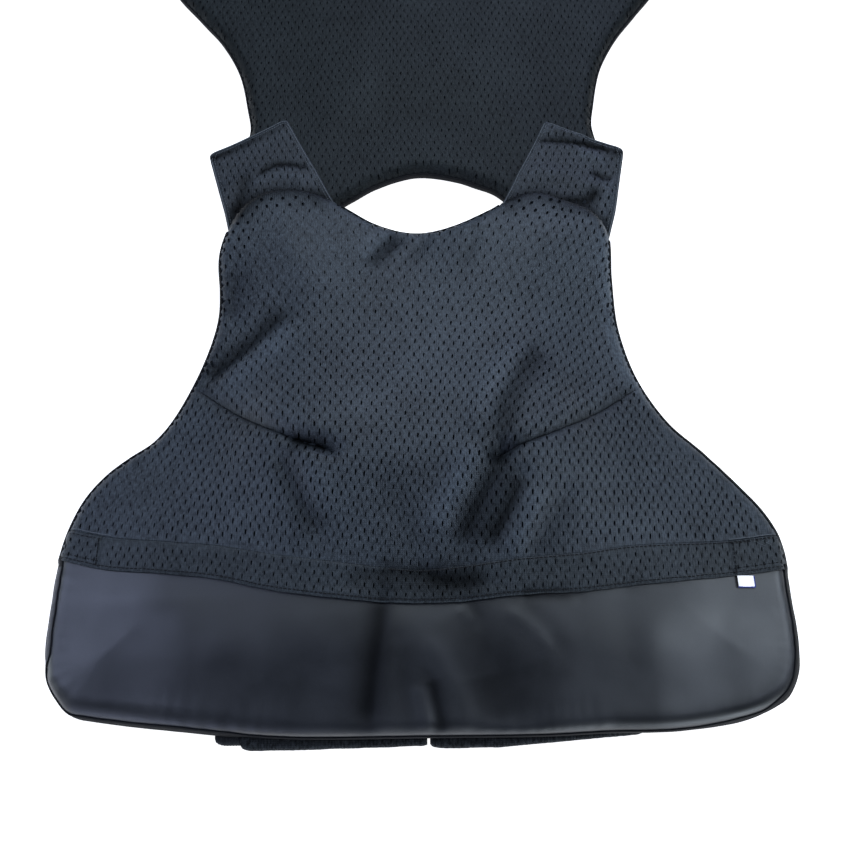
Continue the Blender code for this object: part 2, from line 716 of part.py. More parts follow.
def front_half():
    loop = panel_loop(FRONT_OUTLINE, FRONT_HEM_Y, 1, FRONT_EDGE_STEP)
    lower = clipped(hem_line(FRONT_HEM, "lower", FRONT_HEM_Y, 1), loop, EDGE_ROUND)
    upper = clipped(hem_line(FRONT_HEM, "upper", FRONT_HEM_Y, 1), loop, EDGE_ROUND)
    ends = [np.array([(x, level_with(lower, x)), (x, level_with(upper, x))])
            for x in (HEM_PATCH_LEFT_X, HEM_PATCH_RIGHT_X)]
    tag_y = FRONT_HEM_Y + TAG.from_hem_min * MM, FRONT_HEM_Y + TAG.from_hem_max * MM
    tag_x = TAG.x_min * MM, TAG.x_max * MM
    tag = np.array([(x, y) for x, y in zip(tag_x + tag_x[::-1], (tag_y[0],) * 2 + (tag_y[1],) * 2)])
    lines = [lower, upper] + ends + [np.vstack([tag, tag[:1]])]
    face = pad_face(loop, front_underside, FRONT_FOLDS, FRONT_HEM_Y, lines, FRONT_GRID)
    build_pad("front_panel", face, loop, front_underside)

    def between(middles):
        x, y = middles[:, 0], middles[:, 1]
        return (y > level_with(lower, x)) & (y < level_with(upper, x))

    build_sheet("front_mesh", face, pick(face, lambda m: m[:, 1] > level_with(upper, m[:, 0])),
                MESH_THICKNESS, "mesh_lining")
    build_sheet("mesh_hem_band", face,
                pick(face, lambda m: between(m) & (m[:, 0] > HEM_PATCH_LEFT_X) & (m[:, 0] < HEM_PATCH_RIGHT_X)),
                HEM_THICKNESS, "mesh_hem")
    build_sheet("hem_patch_left", face, pick(face, lambda m: between(m) & (m[:, 0] < HEM_PATCH_LEFT_X)),
                HEM_THICKNESS, "mesh_hem")
    build_sheet("hem_patch_right", face, pick(face, lambda m: between(m) & (m[:, 0] > HEM_PATCH_RIGHT_X)),
                HEM_THICKNESS, "mesh_hem")
    build_sheet("size_tag", face, pick(face, lambda m: (m > tag[0]).all(1) & (m < tag[2]).all(1)),
                TAG_THICKNESS, "tag_cloth")
    front_piping(loop)
    build_shoulder_strap("shoulder_strap_right", 1, loop)
    build_shoulder_strap("shoulder_strap_left", -1, loop)


def front_piping(loop):
    """Two runs of piping, which leave out the stretches where the shoulder straps begin."""
    base = front_underside(loop, np.zeros(len(loop)))
    outer = np.linalg.norm(loop - strap_point(STRAP_ROOT_OUTER, 1), axis=1).argmin()
    inner = np.linalg.norm(loop - strap_point(STRAP_ROOT_INNER, 1), axis=1).argmin()
    outer_left = np.linalg.norm(loop - strap_point(STRAP_ROOT_OUTER, -1), axis=1).argmin()
    inner_left = np.linalg.norm(loop - strap_point(STRAP_ROOT_INNER, -1), axis=1).argmin()
    lower_run = np.r_[outer_left + 1:len(loop), 0:outer]
    neck_run = np.r_[inner + 1:inner_left]
    build_piping("front_binding", loop[lower_run], base[lower_run], closed=False)
    build_piping("front_neck_binding", loop[neck_run], base[neck_run], closed=False)


def back_half():
    loop = panel_loop(BACK_OUTLINE, BACK_HEM_Y, -1, BACK_EDGE_STEP)
    lower = clipped(hem_line(BACK_HEM, "lower", BACK_HEM_Y, -1), loop, EDGE_ROUND)
    upper = clipped(hem_line(BACK_HEM, "upper", BACK_HEM_Y, -1), loop, EDGE_ROUND)
    face = pad_face(loop, back_underside, (), BACK_HEM_Y, [lower, upper], BACK_GRID)
    build_pad("back_panel", face, loop, back_underside)
    build_sheet("back_mesh", face, pick(face, lambda m: m[:, 1] < level_with(upper, m[:, 0])),
                MESH_THICKNESS, "mesh_lining")
    build_sheet("back_hem_band", face,
                pick(face, lambda m: (m[:, 1] < level_with(lower, m[:, 0])) & (m[:, 1] > level_with(upper, m[:, 0]))),
                HEM_THICKNESS, "mesh_hem")
    build_piping("back_binding", loop, np.zeros(len(loop)), closed=True)


def side_straps():
    for strap in SIDE_STRAPS:
        build_folded_strap(strap, "elastic" if "elastic" in strap.name else "mesh_hem")


def main():
    clear_scene()
    front_half()
    back_half()
    side_straps()


main()
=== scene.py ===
"""The looks of a soft armour vest that lies open with its mesh lining facing up.

The outlines follow the vest's two sides, which lie a little unevenly, so their edges are some
millimetres off the solids' even ones. Tables are in millimetres, and MM turns them into metres. In a
table, "from_hem" is the distance from that panel's own lower edge, measured towards its neckline.
"""
from collections import defaultdict, namedtuple

import bmesh
import bpy
import numpy as np
from mathutils import Matrix, Vector, noise
from mathutils.geometry import delaunay_2d_cdt


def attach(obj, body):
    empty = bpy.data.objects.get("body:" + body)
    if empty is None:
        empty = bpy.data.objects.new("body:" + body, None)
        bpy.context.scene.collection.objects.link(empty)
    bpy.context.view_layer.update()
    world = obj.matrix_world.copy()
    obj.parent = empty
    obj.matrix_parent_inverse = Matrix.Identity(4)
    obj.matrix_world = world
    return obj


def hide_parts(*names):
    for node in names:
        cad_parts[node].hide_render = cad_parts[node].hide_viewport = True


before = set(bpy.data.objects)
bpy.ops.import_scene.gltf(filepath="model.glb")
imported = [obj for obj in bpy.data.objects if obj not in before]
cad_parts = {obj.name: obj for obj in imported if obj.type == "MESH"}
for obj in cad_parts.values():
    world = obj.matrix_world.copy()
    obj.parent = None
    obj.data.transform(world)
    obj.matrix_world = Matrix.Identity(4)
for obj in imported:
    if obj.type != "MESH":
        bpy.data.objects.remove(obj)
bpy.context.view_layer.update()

MM = 0.001
SMALL = 1e-6
TINY = 1e-12


def table(kind, *rows):
    """A table's rows, with the names of their columns."""
    return tuple(kind(*row) for row in rows)


# Outlines of the two panels, each half from the middle of the hem round its side to the middle of
# the neckline: distances from the vest's middle line and from the hem
FRONT_RIGHT = (
    (0, 3), (80, 3), (120, 4.5), (160, 5), (190, 8.5), (216, 14), (230, 20), (241.5, 28.5),
    (248.5, 41.5), (251.5, 58), (251.6, 95), (250, 132), (242, 151), (230, 167.5), (205, 197),
    (182, 221.5), (162.5, 258), (152.5, 299), (149.6, 345), (149, 381), (140, 399.5), (121, 410),
    (96, 419.5), (78, 414.5), (58, 401.5), (35, 391), (0, 387),
)
FRONT_LEFT = (
    (0, 3), (80, 3.3), (120, 6.1), (158, 10.1), (190, 14.0), (216, 17.7), (229.5, 20.8),
    (239.5, 30.5), (247, 42.5), (249.2, 56), (250, 100), (248, 131.5), (243.5, 151), (235.5, 170),
    (222.5, 187), (208, 199.5), (193, 210.5), (183, 223), (173, 242), (159.3, 279), (151.5, 316),
    (151.3, 340), (152.7, 364), (147.5, 387), (139, 407), (122, 422), (100, 425.5), (77, 419.5),
    (58, 406.5), (35, 392.5), (0, 387),
)
BACK_RIGHT = (
    (0, 3), (90, 3.5), (165, 9), (208, 18), (226, 32), (234, 56), (235, 98), (232, 138), (219, 176),
    (197, 208), (176, 238), (159, 274), (150, 314), (147, 335), (150, 358), (151, 385), (150, 412),
    (144, 430), (130, 438), (110, 439), (92, 433), (79, 416), (64, 401.5), (49, 394.5), (33, 388),
    (0, 383),
)
BACK_LEFT = (
    (0, 3), (90, 3.5), (165, 9), (208, 18), (226, 32), (234, 56), (235, 98), (230, 138), (215, 176),
    (191, 208), (168.5, 238), (151, 274), (141.5, 314), (138, 335), (141, 358), (142, 385),
    (141, 412), (135, 430), (121, 438), (104, 439), (88, 435.5), (75, 427), (62, 413.5), (50, 405),
    (33, 394), (0, 383),
)
Panel = namedtuple("Panel", "name right left hem_y towards_neck")
FRONT = Panel("front", FRONT_RIGHT, FRONT_LEFT, -416 * MM, 1)
BACK = Panel("back", BACK_RIGHT, BACK_LEFT, 419.5 * MM, -1)

# Padding, and the rounding of its edge. Here and below, a pair of places says where something
# begins and where it is there in full
PAD_THICKNESS = 12 * MM
EDGE_WALL = 4 * MM
EDGE_ROUND = 9 * MM
HEM_ROUND = 14 * MM
HEM_ROUND_FROM_HEM = (45 * MM, 18 * MM)
HEM_ROUND_X = (-40 * MM, -170 * MM)

# The swell of each panel's middle, the bust mounds, and what lifts the front pad off the floor
Crown = namedtuple("Crown", "rise starts reach")
FRONT_CROWN = Crown(6, 0, 80)
BACK_CROWN = Crown(5, 32, 80)
Mound = namedtuple("Mound", "x from_hem rise spread_x spread_y")
BUST_MOUNDS = table(
    Mound,
    (-66, 198, 24, 50, 56), (66, 198, 24, 50, 56),
)
HEM_LIFT = 5.2 * MM
HEM_LIFT_X = (205 * MM, 150 * MM)
HEM_LIFT_FROM_HEM = (110 * MM, 50 * MM)
SHOULDER_LIFT = 14.5 * MM
SHOULDER_LIFT_FROM_HEM = (300 * MM, 388 * MM)
SHOULDER_LIFT_X = 52 * MM
NECK_LIFT_SHARE = 0.35

# Cloth lying on the pads
CLOTH_GAP = 0.45 * MM
MESH_THICKNESS = 1.1 * MM
HEM_RISE = 0.7 * MM
SEAM_GAP = 0.15 * MM
TAG_THICKNESS = 0.7 * MM
HemStation = namedtuple("HemStation", "x lower upper")
FRONT_HEM = table(
    HemStation,
    (-252, 124.5, 146.5), (-212, 114.8, 137.5), (-172, 110.5, 132.5), (-137, 106, 128.5),
    (-90, 95.5, 119.5), (0, 87, 110), (74, 92, 116.5), (110, 93.5, 119.5), (142, 97.5, 124.5),
    (212, 104.6, 129), (252, 110, 134.5),
)
BACK_HEM = table(
    HemStation,
    (-240, 112, 138), (-150, 104, 130), (-80, 96, 122), (0, 92, 118), (80, 96, 122),
    (150, 104, 130), (240, 112, 138),
)
HEM_PATCH_LEFT_X = -219 * MM
HEM_PATCH_RIGHT_X = 213 * MM
Rect = namedtuple("Rect", "x_min x_max from_hem_min from_hem_max")
TAG = Rect(215.2, 226.8, 96.8, 104.5)

# Creases of the front. Seen along its points, a crease has a width on its left and on its right, a
# depth at each end, a painted shade for its trough, and often a ridge of its own height and width
# beside it, to its right where ridge_at is above zero, which is painted lighter
Crease = namedtuple("Crease", "points left right start end shade ridge ridge_at ridge_width",
                    defaults=(0, 0, 1))
DART_LEFT = ((-163, 252), (-104, 210), (-58, 190))
DART_RIGHT = ((163, 249), (104, 208.5), (54, 186))
FRONT_CREASES = {
    "dart_left": Crease(DART_LEFT, 6, 5, 1.2, 4.0, 0.25, 0.9, -9, 7),
    "dart_left_seam": Crease(DART_LEFT, 1.3, 1.3, 1.2, 2.4, 0.5),
    "dart_left_tip": Crease(((-88, 200), (-62, 192)), 7, 6, 1.6, 2.6, 0.7),
    "below_dart_left": Crease(
        ((-95, 190), (-80, 158), (-66, 134)), 8, 8, 2.4, 1.4, 0.5, 1.0, -14, 8),
    "dart_right": Crease(DART_RIGHT, 5, 6, 1.0, 3.0, 0.25, 0.9, 9, 7),
    "dart_right_seam": Crease(DART_RIGHT, 1.3, 1.3, 1.0, 2.0, 0.5),
    "below_dart_right": Crease(
        ((59, 188), (50.5, 172), (42, 156), (35, 143), (27, 124)), 9, 9, 5.0, 1.2, 0.85, 2.0, 18, 9),
    "below_dart_right_outer": Crease(
        ((71, 171), (63.5, 154), (56, 140), (47, 124)), 6, 6, 3.0, 1.2, 0.85, 2.0, -16, 8),
    "below_dart_right_last": Crease(((100, 158), (85, 134), (75, 115)), 9, 9, 2.4, 1.2, 0.3),
    "above_dart_right": Crease(((92, 276), (66, 230), (55, 192)), 9, 8, 1.4, 4.4, 0.7, 2.0, 16, 10),
    "armhole_left": Crease(((-158, 262), (-124, 292), (-98, 318)), 7, 8, 4.2, 1.2, 0.8, 1.2, 15, 9),
    "armhole_left_upright": Crease(((-141, 314), (-138, 352)), 7, 7, 2.6, 1.2, 0.4),
    "middle_low": Crease(((-22, 168), (-10, 140), (0, 118)), 12, 12, 0.8, 1.6, 0.12),
    "neck_left": Crease(((-14, 380), (-36, 350)), 5, 6, 3.2, 0.8, 0.8, 1.2, 9, 5),
    "neck_middle": Crease(((8, 377), (-6, 355)), 4, 5, 2.2, 0.6, 0.4, 0.6, 8, 5),
    "neck_right": Crease(((46, 376), (37, 348)), 6, 6, 1.4, 0.4, 0.3),
    "hem_gather": Crease(((-30, 103), (6, 102), (50, 104)), 12, 11, 0.3, 0.3, 0.5),
    "hem_gather_left": Crease(((-48, 99), (-32, 107), (12, 107)), 5, 5, 1.0, 0.9, 0.25),
    "hem_gather_right": Crease(((4, 106), (16, 101.5), (48, 100)), 6, 6, 1.1, 0.9, 0.35),
    "cover_left": Crease(((-25, 91), (-27, 68), (-31, 40), (-34, 4)), 6, 9, 1.5, 0.9, 0.95),
    "cover_left_soft": Crease(((-14, 62), (-10, 30), (-8, 8)), 8, 8, 0.5, 0.7, 0.22),
    "cover_pinch": Crease(((7, 38), (11, 20), (15, 4)), 4, 6, 0.6, 1.5, 0.8, 0.4, 9, 5),
    "cover_right": Crease(
        ((26, 86), (44, 56), (58, 26), (62, 8)), 20, 22, 1.3, 1.6, 0.42, 0.5, 30, 8),
    "cover_right_low": Crease(((40, 40), (46, 10)), 20, 20, 0.6, 0.6, 0.25),
    "cover_right_short": Crease(((30, 88), (40, 76)), 4, 6, 0.5, 0.3, 0.2, 0.35, 5, 4),
    "cover_edge": Crease(((60, 90), (82, 73), (92, 56)), 7, 6, 0.3, 0.3, 0.2, 0.45, 8, 5),
    "cover_under_hem": Crease(((68, 91), (104, 91)), 4, 4, 0.6, 0.6, 0.7),
    # cover_left_broad and cover_corner have no depth: they are painted shade only
    "cover_left_broad": Crease(((-180, 95), (-180, 20)), 60, 34, 0, 0, 0.32),
    "cover_far_right": Crease(((140, 90), (137, 44)), 9, 12, 0.7, 0.4, 0.15),
    "cover_corner": Crease(((120, 9), (180, 13), (222, 24), (243, 46)), 6, 6, 0, 0, 0.45),
}
CREASE_STEP = 4 * MM
RIDGE_FADE = 0.2
# Painted light on the ridges beside the creases, and how far the creases' painted shade reaches, how
# it fades at their ends and its limits
RIDGE_PAINTED_LIGHT = 0.6
SHADE_REACH = 1.25
SHADE_FADES = (0.15, 0.3)
SHADE_AT_ENDS = 0.3
SHADE_LIMITS = (-0.9, 1.0)
# Painted shade along the shoulders' edge, and painted light along the right armhole
SHOULDER_SHADE = 0.95
SHOULDER_SHADE_REACH = 13 * MM
SHOULDER_SHADE_FROM_HEM = (384 * MM, 398 * MM)
SHOULDER_SHADE_X = (64 * MM, 76 * MM)
ARMHOLE_PAINTED_LIGHT = 0.9
ARMHOLE_PAINTED_LIGHT_REACH = 9 * MM
ARMHOLE_PAINTED_LIGHT_LOW = (225 * MM, 255 * MM)
ARMHOLE_PAINTED_LIGHT_HIGH = (385 * MM, 365 * MM)
# Painted shade along the back's edge
BACK_EDGE_SHADE = 0.5
BACK_EDGE_SHADE_REACH = 5 * MM

# Soft waves all over, and puckers along the piping
Wave = namedtuple("Wave", "length height seed")
LONG_WAVE = Wave(74, 1.0, 3.0)
SHORT_WAVE = Wave(27, 0.34, 11.0)
PUCKER_HEIGHT = 0.42 * MM
PUCKER_LENGTH = 11 * MM
PUCKER_STARTS = 2.5 * MM
PUCKER_REACH = 8 * MM
PUCKER_DRIFT = 1.6
PUCKER_DRIFT_LENGTH = 55 * MM
PUCKER_SIZE, PUCKER_SIZE_SPREAD = 0.7, 1.3

# The lining's rows of slits: how the cloth runs across the front, above and below the darts.
# "slope" is the rows' rise, "lean" the columns' tilt, "pitch" the distance between slits in a row
Grain = namedtuple("Grain", "x slope lean pitch")
GRAIN_ABOVE = table(
    Grain,
    (-250, 0.06, -0.12, 7.6), (-110, 0.07, -0.10, 7.6), (-60, 0.02, -0.03, 7.1),
    (0, -0.10, 0.06, 6.4), (60, -0.16, 0.14, 6.5), (105, -0.28, 0.22, 6.7), (150, -0.32, 0.24, 7.0),
    (250, -0.32, 0.24, 7.0),
)
GRAIN_BELOW = table(
    Grain,
    (-250, -0.20, 0.05, 6.6), (-155, -0.30, 0.04, 6.6), (-110, -0.28, 0.05, 6.4),
    (-40, -0.16, 0.07, 5.9), (0, -0.12, 0.07, 5.8), (70, 0.00, 0.07, 6.1), (130, 0.09, 0.06, 6.4),
    (170, 0.08, 0.07, 6.3), (200, -0.10, 0.06, 6.2), (250, -0.16, 0.06, 6.2),
)
RowPitch = namedtuple("RowPitch", "from_hem pitch")
ROW_PITCHES = table(
    RowPitch,
    (80, 5.5), (160, 5.4), (200, 5.6), (240, 5.8), (275, 6.1), (305, 6.5), (340, 6.9), (430, 7.0),
)
ROWS_COUNTED = (60, 460)
KNIT_HALF_WIDTH = 260
DART_CHAIN = ((-KNIT_HALF_WIDTH, 315), *DART_LEFT, *DART_RIGHT[::-1], (KNIT_HALF_WIDTH, 312))
DART_LEVEL = 200.0
DART_TIP_X = 57
DART_TIP_FADE = 16
MIX_REACH_AT_DARTS, MIX_REACH_MORE, MIX_REACH_FADE = 4, 42, 45

# Where the search for each slit's place begins, in rows and columns of even pitch, and how it goes
SEARCH_PITCH = (6.5, 5.8)
SEARCH_FROM_HEM = 70
SEARCH_STEP = (6.4, 5.8)
SEARCH_SPEED = 0.8
SEARCH_ROUNDS = 30
PLACE_ERROR = 0.03
PROBE = 0.5

# Slits in even rows, with the pitch across and along
SLIT_COLUMNS = (-46, 47)
FRONT_ROWS = (0, 72)
BACK_ROWS = (12, 70)
BACK_SLIT_PITCH = (6.2, 6.5)
BACK_SWAY = 2.0
BACK_SWAY_X, BACK_SWAY_Y = 60, 75
BACK_LEAN, BACK_LEAN_X = 0.03, 80

# Slits in the knit
Slit = namedtuple("Slit", "width length")
LINING_SLIT = Slit(1.2, 4.1)
BACK_SLIT = Slit(0.92, 3.4)
HEM_SLIT = Slit(0.9, 3.2)
STRAP_SLIT = Slit(1.1, 3.9)
SLIT_CLEAR = 2.3
SLIT_SPACING = 4.2
SLIT_SIDES = 8
SLIT_SQUARENESS = 0.75
SLIT_WIDTH_SPREAD = (0.85, 1.15)
SLIT_LENGTH_SPREAD = (0.92, 1.06)
SHUT_LENGTH, OPEN_LENGTH, OPEN_LENGTH_MOST = 0.45, 0.55, 1.2
ROUND_WIDER, ROUND_SHORTER = 0.5, 0.35
SHUT_BELOW = 0.12
RIM_SUNK = 0.20 * MM
RIB_RAISED = 0.14 * MM
RIB_FROM_SLIT = (3.15, 0)
# How far the ribs' painted light reaches, and the painted tone between the ribs and the slits' rims,
# which get painted shade
RIB_REACH = 0.25 * MM
TONE_OFF_RIB = 0.35
RIM_RINGS = (1.5, 4.0, 6.8)
BESIDE_SEAM = 1.4 * MM
POINT_FROM_EDGE = 0.7 * MM
POINT_FROM_SLIT = 0.9 * MM
POINT_SPACING = 0.8 * MM
ON_EDGE = 0.3 * MM
PlainEdge = namedtuple("PlainEdge", "side from_hem_min from_hem_max reach")
PLAIN_EDGES = table(
    PlainEdge,
    (1, 135, 300, 8.0), (-1, 140, 300, 5.0), (1, 384, 430, 6.5), (-1, 392, 430, 7.5),
)

# Where the slits are stretched or pressed shut: "open" adds to their 1, "round" makes them rounder
Opening = namedtuple("Opening", "x from_hem reach_x reach_y open round")
OPENINGS = table(
    Opening,
    (-92, 372, 62, 36, -0.62, 0.0), (-137, 388, 10, 34, 0.8, 0.8), (-108, 409, 30, 9, 0.8, 0.8),
    (100, 404, 40, 13, 0.7, 0.7), (15, 145, 95, 38, -0.22, 0.0), (96, 355, 46, 22, -0.30, 0.0),
    (196, 205, 22, 26, -0.45, 0.0), (-205, 176, 34, 30, -0.62, 0.0),
    (-50, 120, 120, 12, -0.15, 0.0),
)


# Curves and outlines in plan

def on_panel(points, panel):
    """Points given in millimetres from the hem, in metres in the vest's frame."""
    points = np.asarray(points, float)
    return np.column_stack([points[:, 0] * MM, panel.hem_y + panel.towards_neck * points[:, 1] * MM])


def smoothstep(value):
    value = np.clip(value, 0.0, 1.0)
    return value * value * (3.0 - 2.0 * value)


def ramp(value, start, end):
    """0 at the start and 1 at the end, smooth between them. Either may be the larger number."""
    return smoothstep((value - start) / (end - start))


def felt(gap, reach):
    """1 on a line, and less with the distance from it: little is left at twice the reach."""
    return np.exp(-(gap / reach) ** 2)


def noise_over(x, y, z):
    """Smooth noise at each point, where x, y and z are each an array or one number."""
    return np.array([noise.noise(Vector(p)) for p in zip(*np.broadcast_arrays(x, y, z))])


def unit(vectors):
    return vectors / np.maximum(np.linalg.norm(vectors, axis=1), TINY)[:, None]


def closest(points, places):
    """For each place the number of the point that is closest to it."""
    return [int(np.linalg.norm(points - place, axis=1).argmin()) for place in places]


def travelled_along(line):
    """How far along a line each of its points is."""
    return np.r_[0.0, np.cumsum(np.linalg.norm(np.diff(line, axis=0), axis=1))]


def smooth_curve(points, closed, samples=24):
    """A dense smooth curve through the points, paced by the square root of each span's length."""
    points = np.asarray(points, float)
    if closed:
        padded = np.vstack([points[-1], points, points[0], points[1]])
    else:
        padded = np.vstack([2 * points[0] - points[1], points, 2 * points[-1] - points[-2]])
    pieces = []
    for a, b, c, d in zip(padded, padded[1:], padded[2:], padded[3:]):
        spans = [np.linalg.norm(q - p) ** 0.5 for p, q in ((a, b), (b, c), (c, d))]
        k1, k2, k3 = np.cumsum(spans)
        at = np.linspace(k1, k2, samples, endpoint=False)[:, None]
        ab = ((k1 - at) * a + at * b) / k1
        bc = ((k2 - at) * b + (at - k1) * c) / (k2 - k1)
        cd = ((k3 - at) * c + (at - k2) * d) / (k3 - k2)
        abc = ((k2 - at) * ab + at * bc) / k2
        bcd = ((k3 - at) * bc + (at - k1) * cd) / (k3 - k1)
        pieces.append(((k2 - at) * abc + (at - k1) * bcd) / (k2 - k1))
    curve = np.vstack(pieces)
    return curve if closed else np.vstack([curve, points[-1]])


def even_steps(curve, step, closed):
    """The curve's points at even distances of about one step."""
    line = np.vstack([curve, curve[0]]) if closed else np.asarray(curve, float)
    travelled = travelled_along(line)
    count = max(int(round(travelled[-1] / step)), 1)
    at = np.linspace(0.0, travelled[-1], count + 1)
    if closed:
        at = at[:-1]
    return np.column_stack([np.interp(at, travelled, line[:, k]) for k in range(2)])


def smooth_line(points, panel, step):
    """An open line in plan through points given in millimetres from the panel's hem."""
    return even_steps(smooth_curve(on_panel(points, panel), closed=False), step, closed=False)


def panel_loop(panel, step):
    """The whole outline, counter-clockwise, from its right and its left half."""
    points = [*panel.right, *((-x, from_hem) for x, from_hem in panel.left[-2:0:-1])]
    loop = even_steps(smooth_curve(on_panel(points, panel), closed=True), step, closed=True)
    return loop if panel.towards_neck > 0 else loop[::-1]


def outward(loop):
    """Unit normals that point out of a counter-clockwise loop."""
    along = unit(np.roll(loop, -1, axis=0) - np.roll(loop, 1, axis=0))
    return np.column_stack([along[:, 1], -along[:, 0]])


def aside_of(line):
    """Unit vectors that point to a line's left."""
    along = unit(np.gradient(line, axis=0))
    return np.column_stack([-along[:, 1], along[:, 0]])


Nearest = namedtuple("Nearest", "gap travelled length side")


def nearest_on(points, line, closed):
    """For each point its distance to a line, how far along the line that is, and on which side."""
    ends = np.roll(line, -1, axis=0) if closed else line[1:]
    starts = line if closed else line[:-1]
    along = ends - starts
    lengths = np.linalg.norm(along, axis=1)
    before = np.r_[0.0, np.cumsum(lengths)[:-1]]
    rows = []
    for batch in np.array_split(points, len(points) // 3000 + 1):
        offset = batch[:, None, :] - starts[None, :, :]
        share = np.clip((offset * along).sum(2) / lengths ** 2, 0.0, 1.0)
        gap = offset - share[:, :, None] * along
        gap = np.sqrt((gap * gap).sum(2))
        pick = gap.argmin(1)
        n = np.arange(len(batch))
        side = along[pick, 0] * offset[n, pick, 1] - along[pick, 1] * offset[n, pick, 0]
        rows.append((gap[n, pick], before[pick] + share[n, pick] * lengths[pick], np.sign(side)))
    gap, travelled, side = (np.concatenate(column) for column in zip(*rows))
    return Nearest(gap, travelled, lengths.sum(), side)


def is_inside(points, loop):
    ends = np.roll(loop, -1, axis=0)
    rise = np.where(ends[:, 1] == loop[:, 1], SMALL, ends[:, 1] - loop[:, 1])
    found = []
    for batch in np.array_split(points, len(points) // 6000 + 1):
        x, y = batch[:, 0][:, None], batch[:, 1][:, None]
        crosses = (loop[:, 1] > y) != (ends[:, 1] > y)
        at_x = loop[:, 0] + (y - loop[:, 1]) / rise * (ends[:, 0] - loop[:, 0])
        found.append((crosses & (x < at_x)).sum(1) % 2 == 1)
    return np.concatenate(found)


def grid_over(low, high, spacing):
    """Points of a triangular grid over a rectangle."""
    rows = []
    for k, y in enumerate(np.arange(low[1], high[1], spacing * 3 ** 0.5 / 2)):
        x = np.arange(low[0] + 0.5 * spacing * (k % 2), high[0], spacing)
        rows.append(np.column_stack([x, np.full(len(x), y)]))
    return np.vstack(rows)


def hem_level(stations, line, panel):
    """A hem line's Y at each X, as a function."""
    curve = smooth_curve(np.array([(s.x, getattr(s, line)) for s in stations]) * MM, closed=False)
    return lambda x: panel.hem_y + panel.towards_neck * np.interp(x, curve[:, 0], curve[:, 1])


def clip_outline(loop, height_over, put_back, step):
    """The part of an outline where height_over is positive, with the cut filled at even steps."""
    over = height_over(loop)
    kept = []
    for k in range(len(loop)):
        after = (k + 1) % len(loop)
        if over[k] > 0:
            kept.append(loop[k])
        if (over[k] > 0) != (over[after] > 0):
            share = over[k] / (over[k] - over[after])
            kept.append(loop[k] + share * (loop[after] - loop[k]))
    kept = np.array(kept)
    filled = []
    for here, after in zip(kept, np.roll(kept, -1, axis=0)):
        filled.append(here)
        pieces = int(np.linalg.norm(after - here) / step)
        if pieces > 1 and abs(height_over(np.array([here, after]))).max() < step / 2:
            shares = np.arange(1, pieces) / pieces
            filled += [put_back(here + share * (after - here)) for share in shares]
    return np.array(filled)


def past_level(loop, level, way, step):
    """The part of an outline over a line given by its Y at each X, or under it if way is -1."""
    return clip_outline(loop, lambda p: way * (p[:, 1] - level(p[:, 0])),
                        lambda p: np.array([p[0], level(p[0])]), step)


def past_x(loop, x, way, step):
    """The part of an outline to the right of an X, or to its left if way is -1."""
    return clip_outline(loop, lambda p: way * (p[:, 0] - x), lambda p: np.array([x, p[1]]), step)


Cut = namedtuple("Cut", "plan triangles rim ring")


def ring_edges(start, count):
    return [(start + k, start + (k + 1) % count) for k in range(count)]


def cut_cloth(loop, rings, loose):
    """Triangles that fill an outline and leave out the rings, which are the slits' outlines."""
    points, edges, ring_of = list(loop), ring_edges(0, len(loop)), [-1] * len(loop)
    for n, ring in enumerate(rings):
        edges += ring_edges(len(points), len(ring))
        points += list(ring)
        ring_of += [n] * len(ring)
    points += list(loose)
    ring_of += [-1] * len(loose)
    corners, _, faces, origins, _, _ = delaunay_2d_cdt(
        [Vector(p) for p in points], edges, [list(range(len(loop)))], 2, SMALL, True)
    plan = np.array([tuple(c) for c in corners])
    rim = np.array([any(p < len(loop) for p in from_points) for from_points in origins])
    ring = np.array([max((ring_of[p] for p in from_points), default=-1) for from_points in origins])
    triangles = np.array([tuple(f) for f in faces if len(f) == 3])
    triangles = triangles[is_inside(plan[triangles].mean(1), loop)]
    a, b, c = (ring[triangles[:, k]] for k in range(3))
    triangles = triangles[~((a >= 0) & (a == b) & (b == c))]
    a, b, c = (plan[triangles[:, k]] for k in range(3))
    clockwise = np.cross(b - a, c - a) < 0
    triangles[clockwise] = triangles[clockwise][:, ::-1]
    return Cut(plan, triangles, rim, ring)


# Heights of the pads

OUTLINES = {panel.name: panel_loop(panel, 3 * MM) for panel in (FRONT, BACK)}


def swell(distance, crown):
    return crown.rise * MM * smoothstep((distance - crown.starts * MM) / (crown.reach * MM))


def front_underside(plan, distance):
    x, from_hem = plan[:, 0], plan[:, 1] - FRONT.hem_y
    height = swell(distance, FRONT_CROWN)
    edge_fade = smoothstep(distance / (FRONT_CROWN.reach * MM))
    for m in BUST_MOUNDS:
        away = ((x / MM - m.x) / m.spread_x) ** 2 + ((from_hem / MM - m.from_hem) / m.spread_y) ** 2
        height = height + m.rise * MM * np.exp(-away / 2) * edge_fade
    height = height + HEM_LIFT * ramp(abs(x), *HEM_LIFT_X) * ramp(from_hem, *HEM_LIFT_FROM_HEM)
    neck_share = NECK_LIFT_SHARE + (1 - NECK_LIFT_SHARE) * smoothstep(abs(x) / SHOULDER_LIFT_X)
    return height + SHOULDER_LIFT * ramp(from_hem, *SHOULDER_LIFT_FROM_HEM) * neck_share


def underside(panel, plan, distance):
    return front_underside(plan, distance) if panel is FRONT else swell(distance, BACK_CROWN)


def padding(panel, plan, distance):
    """The pad's thickness, rounded off towards its edge, and more widely at the front's hem."""
    reach = EDGE_ROUND
    if panel is FRONT:
        near_hem = ramp(plan[:, 1] - FRONT.hem_y, *HEM_ROUND_FROM_HEM)
        reach = EDGE_ROUND + (HEM_ROUND - EDGE_ROUND) * near_hem * ramp(plan[:, 0], *HEM_ROUND_X)
    inward = 1 - np.clip(distance / reach, 0.0, 1.0)
    return EDGE_WALL + (PAD_THICKNESS - EDGE_WALL) * np.sqrt(1 - inward * inward)


